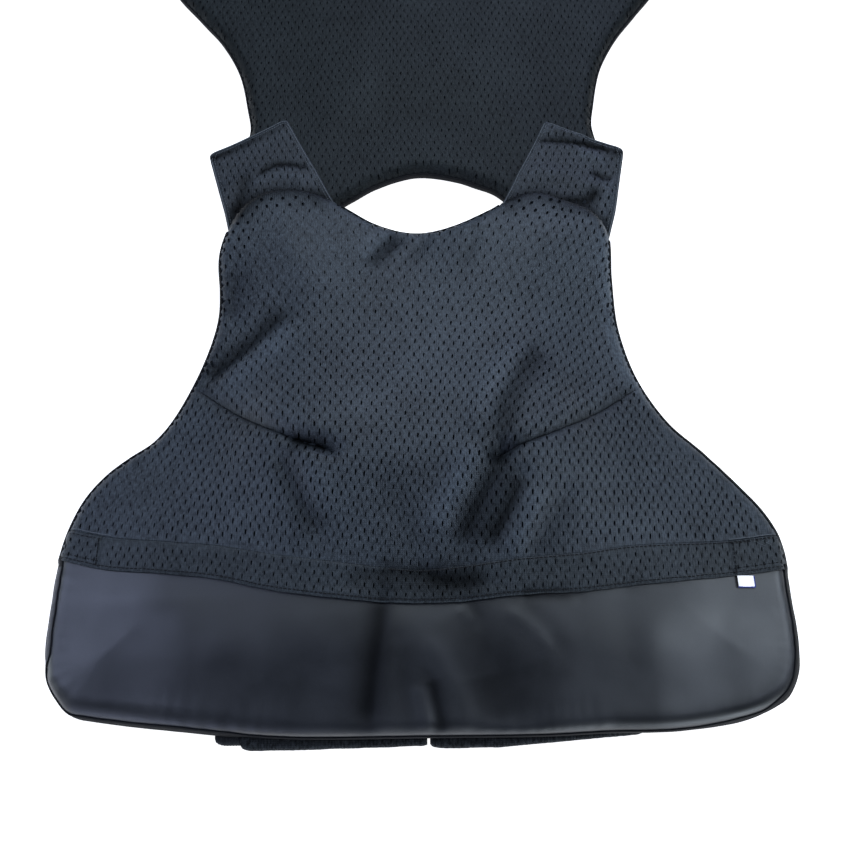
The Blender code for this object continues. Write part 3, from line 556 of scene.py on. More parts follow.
def near_crease(plan, crease, widened=1.0):
    """How far along a crease each point is, and how much it feels the trough and the ridge."""
    found = nearest_on(plan, smooth_line(crease.points, FRONT, CREASE_STEP), closed=False)
    share = found.travelled / found.length
    width = np.where(found.side > 0, crease.left, crease.right) * MM * widened
    from_ridge = found.side * found.gap + crease.ridge_at * MM
    ends = smoothstep(share / RIDGE_FADE) * smoothstep((1 - share) / RIDGE_FADE)
    return share, felt(found.gap, width), ends * felt(from_ridge, crease.ridge_width * MM)


def crease_depth(plan, crease):
    """How far a crease sinks the cloth at each point, less the ridge beside it."""
    share, trough, ridge = near_crease(plan, crease)
    depth = crease.start + (crease.end - crease.start) * share
    return (depth * trough - crease.ridge * ridge) * MM


def front_shade(plan):
    """Painted shade in the front's hollows, and below zero painted light on their ridges."""
    shade = np.zeros(len(plan))
    for crease in FRONT_CREASES.values():
        share, trough, ridge = near_crease(plan, crease, SHADE_REACH)
        fades = smoothstep(share / SHADE_FADES[0] + SHADE_AT_ENDS)
        fades *= smoothstep((1 - share) / SHADE_FADES[1] + SHADE_AT_ENDS)
        painted_light = RIDGE_PAINTED_LIGHT * ridge if crease.ridge else 0.0
        shade = shade + crease.shade * (trough * fades - painted_light)
    x, from_hem = plan[:, 0], plan[:, 1] - FRONT.hem_y
    away = nearest_on(plan, OUTLINES["front"], closed=True).gap
    # Painted shade along the shoulders' edge
    on_shoulder = ramp(from_hem, *SHOULDER_SHADE_FROM_HEM) * ramp(abs(x), *SHOULDER_SHADE_X)
    shade = shade + SHOULDER_SHADE * on_shoulder * felt(away, SHOULDER_SHADE_REACH)
    # Painted light along the right armhole
    at_armhole = ramp(from_hem, *ARMHOLE_PAINTED_LIGHT_LOW) * ramp(from_hem, *ARMHOLE_PAINTED_LIGHT_HIGH) * (x > 0)
    shade = shade - ARMHOLE_PAINTED_LIGHT * at_armhole * felt(away, ARMHOLE_PAINTED_LIGHT_REACH)
    return np.clip(shade, *SHADE_LIMITS)


def back_shade(plan):
    """Painted shade: the back is painted a little darker along its edge."""
    away = nearest_on(plan, OUTLINES["back"], closed=True).gap
    return BACK_EDGE_SHADE * felt(away, BACK_EDGE_SHADE_REACH)


def wave_height(plan, wave):
    return wave.height * MM * noise_over(*(plan.T / (wave.length * MM)), wave.seed)


def pucker(found, panel):
    """Small gathers along the piping, uneven in size and spacing."""
    seed = 0.0 if panel is FRONT else 50.0
    place = found.travelled / PUCKER_DRIFT_LENGTH
    drift, size = noise_over(place, seed, 0.5), noise_over(place, seed, 9.5)
    turns = found.travelled / PUCKER_LENGTH + PUCKER_DRIFT * drift
    fade = smoothstep(found.gap / PUCKER_STARTS) * np.exp(-found.gap / PUCKER_REACH)
    height = PUCKER_HEIGHT * (PUCKER_SIZE + PUCKER_SIZE_SPREAD * size)
    return height * np.sin(2 * np.pi * turns) * fade


def pad_top(panel, plan):
    """The height of a pad's upper face at each point."""
    found = nearest_on(plan, OUTLINES[panel.name], closed=True)
    height = underside(panel, plan, found.gap) + padding(panel, plan, found.gap)
    inner = smoothstep(found.gap / EDGE_ROUND)
    soft = wave_height(plan, LONG_WAVE) + wave_height(plan, SHORT_WAVE)
    if panel is FRONT:
        for crease in FRONT_CREASES.values():
            soft = soft - crease_depth(plan, crease)
    return height + soft * inner + pucker(found, panel)


# Objects

def new_object(name, vertices, faces, materials, slots=None, sharp=55):
    mesh = bpy.data.meshes.new(name)
    mesh.from_pydata([tuple(v) for v in vertices], [], [tuple(int(k) for k in f) for f in faces])
    for m in materials:
        mesh.materials.append(m)
    if slots is not None:
        mesh.polygons.foreach_set("material_index", np.asarray(slots, np.int32))
    mesh.update()
    mesh.shade_smooth()
    mesh.set_sharp_from_angle(angle=np.radians(sharp))
    made = bpy.data.objects.new(name, mesh)
    bpy.context.scene.collection.objects.link(made)
    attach(made, "root")
    return made


def face_normals(points, triangles):
    """Each point's normal, from the triangles round it."""
    corners = points[triangles]
    across = np.cross(corners[:, 1] - corners[:, 0], corners[:, 2] - corners[:, 0])
    normals = np.zeros_like(points)
    for k in range(3):
        np.add.at(normals, triangles[:, k], across)
    return unit(normals)


def rim_normals(normals, plan, rim, loop):
    """The same normals, leaning outwards where the cloth turns down over the pad's edge."""
    out = outward(loop)[closest(loop, plan[rim])]
    normals = normals.copy()
    normals[rim] += np.column_stack([out, np.zeros(len(out))])
    return unit(normals)


def open_edges(triangles):
    """The edges with a triangle on one side only, in the triangle's own direction."""
    edges = np.vstack([triangles[:, [0, 1]], triangles[:, [1, 2]], triangles[:, [2, 0]]])
    known = {(int(a), int(b)) for a, b in edges}
    return [(a, b) for a, b in known if (b, a) not in known]


def closed_cloth(low, high, triangles):
    """The vertices and faces of a closed cloth between a lower and an upper layer."""
    count = len(low)
    faces = np.vstack([triangles + count, triangles[:, [0, 2, 1]]]).tolist()
    for a, b in open_edges(triangles):
        faces += [(a, b, count + b), (a, count + b, count + a)]
    return np.vstack([low, high]), faces


# The knit's slits

def read_off(at, rows, key, value):
    """A table's value at each place, even between its rows."""
    return np.interp(at, [getattr(row, key) for row in rows], [getattr(row, value) for row in rows])


def running_count(grains):
    """Columns counted from the middle, and the rows' rise, at each whole millimetre of X."""
    x = np.arange(-KNIT_HALF_WIDTH, KNIT_HALF_WIDTH + 1.0)
    middle = len(x) // 2
    count = np.cumsum(np.interp(x, [g.x for g in grains], [1 / g.pitch for g in grains]))
    rise = np.cumsum(read_off(x, grains, "x", "slope"))
    return x, count - count[middle], rise - rise[middle]


def knit_place(x, y, below):
    """Columns and rows counted in the knit at each point, where "below" is the lower run's share."""
    total = np.zeros((2, len(x)))
    levels = np.arange(*ROWS_COUNTED, 1.0)
    rows = np.cumsum(1 / read_off(levels, ROW_PITCHES, "from_hem", "pitch"))
    for grains, share in ((GRAIN_ABOVE, 1 - below), (GRAIN_BELOW, below)):
        at_x, count, rise = running_count(grains)
        lean, pitch = read_off(x, grains, "x", "lean"), read_off(x, grains, "x", "pitch")
        column = np.interp(x, at_x, count) - lean * (y - DART_LEVEL) / pitch
        row = np.interp(y - np.interp(x, at_x, rise), levels, rows)
        total += share * np.array([column, row])
    return total


def share_below(x, y, run):
    """How much the run of the cloth below the darts counts; past the darts' tips it is mixed."""
    line = np.interp(x, *zip(*DART_CHAIN))
    middle = smoothstep((DART_TIP_X + DART_TIP_FADE / 2 - abs(x)) / DART_TIP_FADE)
    wider = smoothstep((DART_TIP_X - abs(x)) / MIX_REACH_FADE)
    reach = MIX_REACH_AT_DARTS + MIX_REACH_MORE * wider
    mixed = smoothstep(0.5 + (line - y) / (2 * reach))
    return middle * mixed + (1 - middle) * run, line


def staggered(row_range, pitch):
    """Places in rows that pass the vest on both sides, every second row half a pitch aside."""
    columns, rows = np.meshgrid(np.arange(*SLIT_COLUMNS), np.arange(*row_range))
    return ((columns + 0.5 * (rows % 2)) * pitch[0]).ravel(), (rows * pitch[1]).ravel()


def front_slits():
    """Centres and lean of the slits all over the front, in millimetres.

    Each is moved about until the knit's count there is the slit's own column and row. The part
    of the front below the darts' line is done after the part above it.
    """
    i, j = staggered(FRONT_ROWS, (1, 1))
    found = []
    for run in (0.0, 1.0):
        x, y = i * SEARCH_PITCH[0], SEARCH_FROM_HEM + j * SEARCH_PITCH[1]
        for _ in range(SEARCH_ROUNDS):
            column, row = knit_place(x, y, share_below(x, y, run)[0])
            x = x + SEARCH_SPEED * (i - column) * SEARCH_STEP[0]
            y = y + SEARCH_SPEED * (j - row) * SEARCH_STEP[1]
        below, line = share_below(x, y, run)
        column, row = knit_place(x, y, below)
        kept = (abs(column - i) < PLACE_ERROR) & (abs(row - j) < PLACE_ERROR)
        kept &= abs(x) < KNIT_HALF_WIDTH - PROBE
        kept &= (y < line) if run else (y >= line)
        x, y, below, column = x[kept], y[kept], below[kept], column[kept]
        to_right = knit_place(x + PROBE, y, below)[0] - column
        upwards = knit_place(x, y + PROBE, below)[0] - column
        found.append(np.column_stack([x, y, -upwards / to_right]))
    return np.vstack(found)


def back_slits():
    x, y = staggered(BACK_ROWS, BACK_SLIT_PITCH)
    sway = BACK_SWAY * np.sin(x / BACK_SWAY_X) * np.cos(y / BACK_SWAY_Y)
    return np.column_stack([x, y + sway, BACK_LEAN * np.cos(x / BACK_LEAN_X)])


class Cells:
    """Points sorted into square cells, to find what lies within one spacing of a place."""

    def __init__(self, spacing, points=()):
        self.spacing = spacing
        self.held = defaultdict(list)
        for p in points:
            self.put(p)

    def cell(self, p):
        return int(p[0] // self.spacing), int(p[1] // self.spacing)

    def put(self, p):
        self.held[self.cell(p)].append(p)

    def crowd(self, p):
        i, j = self.cell(p)
        near = [q for a in (-1, 0, 1) for b in (-1, 0, 1) for q in self.held.get((i + a, j + b), ())]
        return any(np.hypot(p[0] - q[0], p[1] - q[1]) <= self.spacing for q in near)


def far_from(points, others, spacing):
    """Which points have none of the others within the spacing."""
    cells = Cells(spacing, others)
    return np.array([not cells.crowd(p) for p in points], bool)


def thinned(points, spacing):
    """The points without any that crowds one before it."""
    cells, kept = Cells(spacing), []
    for p in points:
        if not cells.crowd(p):
            kept.append(p)
            cells.put(p)
    return np.array(kept)


def without_plain_edges(slits):
    """The front's slits without those in the plain strips along its armholes."""
    away = nearest_on(on_panel(slits[:, :2], FRONT), OUTLINES["front"], closed=True).gap
    kept = np.ones(len(slits), bool)
    for edge in PLAIN_EDGES:
        beside = (slits[:, 0] * edge.side > 0) & (away < edge.reach * MM)
        kept &= ~(beside & (slits[:, 1] > edge.from_hem_min) & (slits[:, 1] < edge.from_hem_max))
    return slits[kept]


def slit_rings(slits, size, seed, openings=()):
    """The slits' outlines: each its own size, leaning with the knit and rounder where stretched."""
    rng = np.random.default_rng(seed)
    turns = np.arange(SLIT_SIDES) / SLIT_SIDES * 2 * np.pi
    wide, tall = (np.sign(v) * abs(v) ** SLIT_SQUARENESS for v in (np.cos(turns), np.sin(turns)))
    rings = []
    for x, y, lean in slits:
        is_open, rounder = 1.0, 0.0
        for o in openings:
            near = np.exp(-((x - o.x) / o.reach_x) ** 2 - ((y - o.from_hem) / o.reach_y) ** 2)
            is_open += o.open * near
            rounder = max(rounder, o.round * near)
        is_open *= rng.uniform(*SLIT_WIDTH_SPREAD)
        width = size.width * is_open * (1 + ROUND_WIDER * rounder) / 2
        length = size.length * (SHUT_LENGTH + OPEN_LENGTH * min(is_open, OPEN_LENGTH_MOST))
        length *= (1 - ROUND_SHORTER * rounder) / 2 * rng.uniform(*SLIT_LENGTH_SPREAD)
        if width < SHUT_BELOW * size.width:
            continue
        across, along = wide * width, tall * length
        rings.append(np.column_stack([x + across + lean * along, y + along]))
    return rings


def clear_of(points, loop, margin, seams=()):
    """Which of the points lie inside an outline, clear of it and of the seams."""
    good = is_inside(points, loop) & (nearest_on(points, loop, closed=True).gap > margin)
    for seam in seams:
        good &= nearest_on(points, seam, closed=False).gap > margin
    return good


def show_on(item, name, values):
    """Keeps one value for each point of a piece, for its finish to read."""
    shown = item.data.attributes.new(name, "FLOAT", "POINT")
    shown.data.foreach_set("value", np.asarray(values, np.float32))


def on_edge(cut, edge):
    """Which of a cut's points lie on the panel's own outline."""
    rim = cut.rim.copy()
    rim[rim] = nearest_on(cut.plan[rim], edge, closed=True).gap < ON_EDGE
    return rim


def points_between(loop, edge, seams, ribs, rings):
    """More points for a cloth's triangles: along its edge and seams, and on the ribs."""
    rows = [(edge - outward(edge) * inset * MM)[::2] for inset in RIM_RINGS]
    for seam in seams:
        aside = BESIDE_SEAM * aside_of(seam)
        rows += [seam, seam + aside, seam - aside]
    points = np.vstack([*rows, ribs])
    points = points[clear_of(points, loop, POINT_FROM_EDGE)]
    return thinned(points[far_from(points, np.vstack(rings), POINT_FROM_SLIT)], POINT_SPACING)


def mesh_cloth(name, panel, loop, slits, size, seed, material, openings=(), seams=(),
               height_of=None, lift=0.0, edge=None, turned_down=0.0, shade_of=None):
    """A pierced, closed cloth inside an outline, laid on a panel's pad or on another surface."""
    kept = slits[clear_of(on_panel(slits[:, :2], panel), loop, SLIT_CLEAR * MM, seams)]
    way = panel.towards_neck
    rings = [on_panel(ring, panel)[::way] for ring in slit_rings(kept, size, seed, openings)]
    ribs = on_panel(kept[:, :2] + RIB_FROM_SLIT, panel)
    edge = OUTLINES[panel.name] if edge is None else edge
    cut = cut_cloth(loop, rings, points_between(loop, edge, seams, ribs, rings))
    height = pad_top(panel, cut.plan) if height_of is None else height_of(cut.plan)
    points = np.column_stack([cut.plan, height + lift])
    normals = rim_normals(face_normals(points, cut.triangles), cut.plan, on_edge(cut, edge), edge)
    relief = np.where(cut.ring >= 0, -RIM_SUNK, RIB_RAISED)
    relief[cut.rim] = -turned_down
    high = points + normals * (CLOTH_GAP + MESH_THICKNESS + relief)[:, None]
    low = points + normals * CLOTH_GAP
    made = new_object(name, *closed_cloth(low, high, cut.triangles), [material])
    # Painted light on the ribs and painted shade at the slits' rims
    off_rib = far_from(cut.plan, ribs, RIB_REACH)
    rib = np.where(cut.ring >= 0, 0.0, np.where(off_rib, TONE_OFF_RIB, 1.0))
    show_on(made, "rib", np.r_[rib, rib])
    # Painted shade, for the finish to read, where a function for it is given
    if shade_of is not None:
        shade = shade_of(cut.plan)
        show_on(made, "painted_shade", np.r_[shade, shade])
    return made


# Pads

PAD_STEP_SHOWN, PAD_STEP_COVERED = 2.6 * MM, 6.5 * MM
PAD_GRID_INSET = 10 * MM
PAD_RINGS = (0.5, 1.3, 2.6, 4.2, 6.2, 8.4)
SATIN_UNDER_CLOTH = 4 * MM
BASE_STEP = 14 * MM
BASE_GRID_INSET = 9 * MM
BASE_RING = 5 * MM
BASE_LIFT = 0.2 * MM


def build_pad(name, panel, cloth_level, materials):
    """A closed pad: satin where it shows, matt black where the lining covers it."""
    loop = OUTLINES[panel.name]
    out = outward(loop)

    def uncovered(p):
        return panel.towards_neck * (p[:, 1] - cloth_level(p[:, 0])) < SATIN_UNDER_CLOTH

    def grid_inside(spacing, inset):
        grid = grid_over(loop.min(0), loop.max(0), spacing)
        return grid[clear_of(grid, loop, inset)]

    fine = grid_inside(PAD_STEP_SHOWN, PAD_GRID_INSET)
    coarse = grid_inside(PAD_STEP_COVERED, PAD_GRID_INSET)
    rings = [loop - out * inset * MM for inset in PAD_RINGS]
    top = cut_cloth(loop, [], np.vstack([*rings, fine[uncovered(fine)], coarse[~uncovered(coarse)]]))
    ring = loop[::3] - out[::3] * BASE_RING
    base = cut_cloth(loop, [], np.vstack([ring, grid_inside(BASE_STEP, BASE_GRID_INSET)]))
    high = np.column_stack([top.plan, pad_top(panel, top.plan)])
    distance = nearest_on(base.plan, loop, closed=True).gap
    low = np.column_stack([base.plan, underside(panel, base.plan, distance) + BASE_LIFT])
    count = len(high)
    faces = top.triangles.tolist() + (base.triangles[:, [0, 2, 1]] + count).tolist()
    covered = ~uncovered(top.plan[top.triangles].mean(1))
    slots = [*covered.astype(int)] + [0] * (len(base.triangles) + 2 * len(loop))
    upper = closest(top.plan, loop)
    lower = [count + k for k in closest(base.plan, loop)]
    for a, b in ring_edges(0, len(loop)):
        faces += [(upper[a], lower[a], lower[b]), (upper[a], lower[b], upper[b])]
    pad = new_object(name, np.vstack([high, low]), faces, materials, slots, sharp=75)
    # Painted shade on the front pad, for the satin's finish to read
    shade = front_shade(top.plan) if panel is FRONT else np.zeros(count)
    show_on(pad, "painted_shade", np.r_[shade, np.zeros(len(low))])
    return pad


# Node tools for the finishes. Sizes in the finishes are in metres

RIB_WIDTH = 0.0016
LOOP_LENGTH = 0.0013
WEAVE_THREAD = 0.0005
KNIT_DEPTH, WEAVE_DEPTH = 0.0003, 0.0002
SHEEN_ROUGHNESS = 0.45


def start_group(name, amounts, results):
    """A node group that takes a vector and named amounts, with its inside inputs and outputs."""
    tree = bpy.data.node_groups.new(name, "ShaderNodeTree")
    tree.interface.new_socket(name="Vector", in_out="INPUT", socket_type="NodeSocketVector")
    for word, value in amounts.items():
        made = tree.interface.new_socket(name=word, in_out="INPUT", socket_type="NodeSocketFloat")
        made.default_value = value
    for word in results:
        tree.interface.new_socket(name=word, in_out="OUTPUT", socket_type="NodeSocketFloat")
    return tree, tree.nodes.new("NodeGroupInput").outputs, tree.nodes.new("NodeGroupOutput").inputs


def add(tree, kind, links=(), **settings):
    """A node with its settings; links are (input, what feeds it), a socket or a value."""
    made = tree.nodes.new(kind)
    for name, value in settings.items():
        setattr(made, name, value)
    for name, source in links:
        if isinstance(source, bpy.types.NodeSocket):
            tree.links.new(source, made.inputs[name])
        else:
            made.inputs[name].default_value = source
    return made


def place_group(tree, group, vector, **values):
    made = add(tree, "ShaderNodeGroup", node_tree=group)
    tree.links.new(vector, made.inputs["Vector"])
    for name, value in values.items():
        made.inputs[name.replace("_", " ")].default_value = value
    return made.outputs


def math(tree, operation, first, second=0.0):
    return add(tree, "ShaderNodeMath", [(0, first), (1, second)], operation=operation).outputs[0]


def mixed_sum(tree, *terms):
    """The sum of (value, share) pairs."""
    total = None
    for value, share in terms:
        part = math(tree, "MULTIPLY", value, share)
        total = part if total is None else math(tree, "ADD", total, part)
    return total


def ripple(tree, place, length, shift=0.0):
    """0 to 1 and back over each length."""
    turns = math(tree, "MULTIPLY", math(tree, "DIVIDE", place, length), 2 * np.pi)
    swing = math(tree, "SINE", math(tree, "ADD", turns, shift))
    return math(tree, "ADD", math(tree, "MULTIPLY", swing, 0.5), 0.5)


def speckle(tree, vector, size, stretch=(1, 1, 1), detail=2.0):
    """Noise with grains of about one size, longer or shorter along each axis."""
    scaled = add(tree, "ShaderNodeVectorMath", [(0, vector), (1, stretch)], operation="MULTIPLY")
    grains = add(tree, "ShaderNodeTexNoise", [("Vector", scaled.outputs[0]), ("Detail", detail)])
    tree.links.new(math(tree, "DIVIDE", 1.0, size), grains.inputs["Scale"])
    return grains.outputs[0]


def knit_loops_group():
    """Upright ribs of knitted loops, and the yarn's uneven tone."""
    tree, given, out = start_group("knit_loops", {"Rib Width": RIB_WIDTH, "Loop Length": LOOP_LENGTH},
                                   ("Tone", "Height"))
    place = add(tree, "ShaderNodeSeparateXYZ", [("Vector", given["Vector"])]).outputs
    rib = ripple(tree, place["X"], given["Rib Width"])
    bow = math(tree, "MULTIPLY", rib, 2.2)
    loop = ripple(tree, place["Y"], given["Loop Length"], bow)
    yarn = speckle(tree, given["Vector"], 0.0014, (1.0, 0.5, 1.0), 3.0)
    tone = mixed_sum(tree, (rib, 0.20), (loop, 0.25), (yarn, 3.2))
    tree.links.new(math(tree, "SUBTRACT", tone, 1.3), out["Tone"])
    tree.links.new(mixed_sum(tree, (rib, 0.5), (loop, 0.5), (yarn, 0.5)), out["Height"])
    return tree


def close_weave_group():
    """A fine twill, and the soft streaks of its threads."""
    tree, given, out = start_group("close_weave", {"Thread": WEAVE_THREAD}, ("Tone", "Height"))
    place = add(tree, "ShaderNodeSeparateXYZ", [("Vector", given["Vector"])]).outputs
    slant = mixed_sum(tree, (place["X"], 1.0), (place["Y"], 0.6))
    twill = ripple(tree, slant, given["Thread"])
    streak = speckle(tree, given["Vector"], 0.0011, (1.0, 0.6, 1.0), 3.0)
    tree.links.new(mixed_sum(tree, (twill, 0.3), (streak, 0.7)), out["Tone"])
    tree.links.new(mixed_sum(tree, (twill, 0.5), (streak, 0.5)), out["Height"])
    return tree


def cloth_wear_group():
    """Broad faded patches, and small specks of lint."""
    tree, given, out = start_group("cloth_wear", {"Patch Size": 0.05, "Lint": 0.3},
                                   ("Patches", "Specks"))
    patches = speckle(tree, given["Vector"], given["Patch Size"], detail=3.0)
    tree.links.new(math(tree, "SUBTRACT", patches, 0.5), out["Patches"])
    cells = add(tree, "ShaderNodeTexVoronoi", [("Vector", given["Vector"]), ("Scale", 320.0)])
    near = add(tree, "ShaderNodeMapRange",
               [("Value", cells.outputs["Distance"]), ("From Min", 0.22), ("From Max", 0.06)])
    grains = speckle(tree, given["Vector"], 0.004, detail=0.0)
    chosen = add(tree, "ShaderNodeMapRange",
                 [("Value", grains), ("From Min", 0.58), ("From Max", 0.66)])
    specks = math(tree, "MULTIPLY", near.outputs[0], chosen.outputs[0])
    tree.links.new(math(tree, "MULTIPLY", specks, given["Lint"]), out["Specks"])
    return tree


# Finishes: the darkest and lightest colour of each cloth, and how it shines

Cloth = namedtuple("Cloth", "dark light roughness specular sheen relief")
MESH_KNIT = Cloth((0.013, 0.016, 0.021), (0.080, 0.097, 0.117), 0.50, 0.30, 0.0, 0.5)
# The back's knit is the mesh knit painted darker: painted shade
BACK_KNIT_PAINTED_SHADE = Cloth((0.004, 0.0055, 0.007), (0.027, 0.034, 0.038), 0.60, 0.20, 0.0, 0.5)
# The straps' knit is the mesh knit painted darker: painted shade
STRAP_KNIT_PAINTED_SHADE = Cloth((0.008, 0.010, 0.013), (0.055, 0.066, 0.082), 0.55, 0.30, 0.0, 0.5)
BAND_KNIT = Cloth((0.011, 0.014, 0.017), (0.064, 0.077, 0.090), 0.55, 0.30, 0.0, 0.4)
STRAP_WEB = Cloth((0.008, 0.009, 0.010), (0.070, 0.078, 0.086), 0.82, 0.18, 0.05, 0.7)
NAVY_SATIN = Cloth((0.0045, 0.0055, 0.0080), (0.0160, 0.0190, 0.0270), 0.46, 1.0, 0.0, 0.12)
EDGE_TAPE = Cloth((0.002, 0.002, 0.003), (0.008, 0.009, 0.012), 0.70, 0.15, 0.0, 0.25)
NAVY_TAPE = Cloth((0.008, 0.010, 0.016), (0.045, 0.050, 0.070), 0.60, 0.30, 0.05, 0.4)
ELASTIC = Cloth((0.005, 0.005, 0.006), (0.050, 0.054, 0.058), 0.80, 0.20, 0.04, 0.6)
INNER_CLOTH = Cloth((0.010, 0.012, 0.016), (0.020, 0.024, 0.030), 0.90, 0.10, 0.0, 0.1)
DARK_THREAD = Cloth((0.003, 0.003, 0.004), (0.010, 0.010, 0.012), 0.60, 0.25, 0.0, 0.3)
PALE_THREAD = Cloth((0.070, 0.080, 0.092), (0.170, 0.190, 0.210), 0.65, 0.25, 0.05, 0.3)
LABEL_CLOTH = Cloth((0.78, 0.80, 0.84), (0.90, 0.91, 0.94), 0.70, 0.20, 0.0, 0.2)
BLUE_THREAD = Cloth((0.015, 0.03, 0.26), (0.03, 0.05, 0.42), 0.60, 0.25, 0.0, 0.2)
# How much painted shade darkens the knit and the satin, and how much of their shine it takes
KNIT_PAINTED_SHADE, SATIN_PAINTED_SHADE = 0.9, 0.55
PAINTED_SHADE_SHINE_LOSS = 0.75
# Painted light: the label cloth glows a little
LABEL_PAINTED_GLOW = 0.55


def start_material(name, cloth):
    made = bpy.data.materials.new(name)
    made.use_nodes = True
    shader = made.node_tree.nodes["Principled BSDF"]
    shader.inputs["Roughness"].default_value = cloth.roughness
    shader.inputs["Specular IOR Level"].default_value = cloth.specular
    shader.inputs["Sheen Weight"].default_value = cloth.sheen
    shader.inputs["Sheen Roughness"].default_value = SHEEN_ROUGHNESS
    return made, made.node_tree, shader


def colour_mix(tree, factor, first, second, blend="MIX"):
    """A mix of two colours, each a socket or three values."""
    mixed = add(tree, "ShaderNodeMix", data_type="RGBA", blend_type=blend)
    chosen = [s for s in mixed.inputs if s.type == "RGBA"]
    for socket, source in zip([mixed.inputs[0], *chosen], (factor, first, second)):
        if isinstance(source, bpy.types.NodeSocket):
            tree.links.new(source, socket)
        else:
            socket.default_value = source if socket.type == "VALUE" else (*source, 1)
    return [s for s in mixed.outputs if s.type == "RGBA"][0]


def finish_cloth(tree, shader, cloth, tone, height, depth, painted_shade_depth=0.0):
    """Colours the cloth by its tone, raises its threads, and paints shade into the hollows.

    There the painted shade darkens the colour and, as a share of dark metal, dims the shine too.
    """
    held = add(tree, "ShaderNodeClamp", [("Value", tone)]).outputs[0]
    colour = colour_mix(tree, held, cloth.dark, cloth.light)
    if painted_shade_depth:
        painted_shade = add(tree, "ShaderNodeAttribute", attribute_name="painted_shade").outputs["Fac"]
        left = math(tree, "SUBTRACT", 1.0, math(tree, "MULTIPLY", painted_shade, painted_shade_depth))
        grey = add(tree, "ShaderNodeCombineColor", [(0, left), (1, left), (2, left)]).outputs[0]
        colour = colour_mix(tree, 1.0, colour, grey, "MULTIPLY")
        sunk = math(tree, "MAXIMUM", painted_shade, 0.0)
        tree.links.new(math(tree, "MULTIPLY", sunk, PAINTED_SHADE_SHINE_LOSS), shader.inputs["Metallic"])
    tree.links.new(colour, shader.inputs["Base Color"])
    bump = add(tree, "ShaderNodeBump", [("Height", height), ("Strength", cloth.relief),
                                        ("Distance", depth)])
    tree.links.new(bump.outputs["Normal"], shader.inputs["Normal"])


def knit_finish(name, cloth, groups, rib_width=RIB_WIDTH, ribbed=True):
    """Knitted cloth: painted light on ribs between the slits, painted shade at their rims."""
    made, tree, shader = start_material(name, cloth)
    where = add(tree, "ShaderNodeTexCoord").outputs["Object"]
    loops = place_group(tree, groups["knit_loops"], where, Rib_Width=rib_width)
    wear = place_group(tree, groups["cloth_wear"], where, Patch_Size=0.045, Lint=0.5)
    terms = [(loops["Tone"], 0.55), (wear["Patches"], 0.7), (wear["Specks"], 1.0)]
    if ribbed:
        rib = add(tree, "ShaderNodeAttribute", attribute_name="rib")
        terms += [(rib.outputs["Fac"], 0.22), (0.10, 1.0)]
    finish_cloth(tree, shader, cloth, mixed_sum(tree, *terms), loops["Height"], KNIT_DEPTH,
                 KNIT_PAINTED_SHADE if ribbed else 0.0)
    return made


def woven_finish(name, cloth, groups, thread=WEAVE_THREAD, patch=0.03, lint=0.25, painted_shade=0.0):
    """Woven cloth or thread, with streaks, worn patches and a shine that varies over it."""
    made, tree, shader = start_material(name, cloth)
    where = add(tree, "ShaderNodeTexCoord").outputs["Object"]
    weave = place_group(tree, groups["close_weave"], where, Thread=thread)
    wear = place_group(tree, groups["cloth_wear"], where, Patch_Size=patch, Lint=lint)
    tone = mixed_sum(tree, (weave["Tone"], 1.0), (wear["Patches"], 0.6), (wear["Specks"], 1.0))
    finish_cloth(tree, shader, cloth, tone, weave["Height"], WEAVE_DEPTH, painted_shade)
    rough = math(tree, "ADD", math(tree, "MULTIPLY", wear["Patches"], 0.2), cloth.roughness)
    tree.links.new(rough, shader.inputs["Roughness"])
    # Painted light: only the label glows
    shader.inputs["Emission Color"].default_value = (*cloth.light, 1)
    shader.inputs["Emission Strength"].default_value = LABEL_PAINTED_GLOW if cloth is LABEL_CLOTH else 0.0
    return made


def make_finishes():
    groups = {"knit_loops": knit_loops_group(), "close_weave": close_weave_group(),
              "cloth_wear": cloth_wear_group()}
    return {
        "satin": woven_finish("navy_satin", NAVY_SATIN, groups, lint=0.0, painted_shade=SATIN_PAINTED_SHADE),
        "knit": knit_finish("mesh_knit", MESH_KNIT, groups),
        "back_knit_painted_shade": knit_finish("back_mesh_knit_painted_shade", BACK_KNIT_PAINTED_SHADE, groups),
        "band": knit_finish("doubled_mesh_knit", BAND_KNIT, groups),
        "strap_knit": knit_finish("strap_mesh_knit_painted_shade", STRAP_KNIT_PAINTED_SHADE, groups),
        "web": knit_finish("side_strap_knit", STRAP_WEB, groups, 0.0019, ribbed=False),
        "tape": woven_finish("binding_tape", EDGE_TAPE, groups, 0.0009, 0.012),
        "navy_tape": woven_finish("navy_binding_tape", NAVY_TAPE, groups, 0.0009, 0.006),
        "elastic": woven_finish("ribbed_elastic", ELASTIC, groups, 0.0011, 0.004, 0.9),
        "inner": woven_finish("inner_cloth", INNER_CLOTH, groups),
        "thread": woven_finish("dark_thread", DARK_THREAD, groups, 0.0006, 0.01),
        "pale_thread": woven_finish("pale_thread", PALE_THREAD, groups, 0.0006, 0.01),
        "label": woven_finish("label_cloth", LABEL_CLOTH, groups, 0.0006, 0.004, 0.0),
        "blue_thread": woven_finish("blue_thread", BLUE_THREAD, groups, 0.0006, 0.01),
    }


# Sewn lines and threads

LINE_STEP = 2.5 * MM
WANDER_LENGTH = 11 * MM

# Along a stitch: the place, the girth and the rise, as shares of its length and thickness
STITCH_SHAPE = np.array([(-0.5, 0.35, -0.6), (-0.4, 0.9, -0.1), (0.0, 1.0, 0.25), (0.4, 0.9, -0.1),
                         (0.5, 0.35, -0.6)])


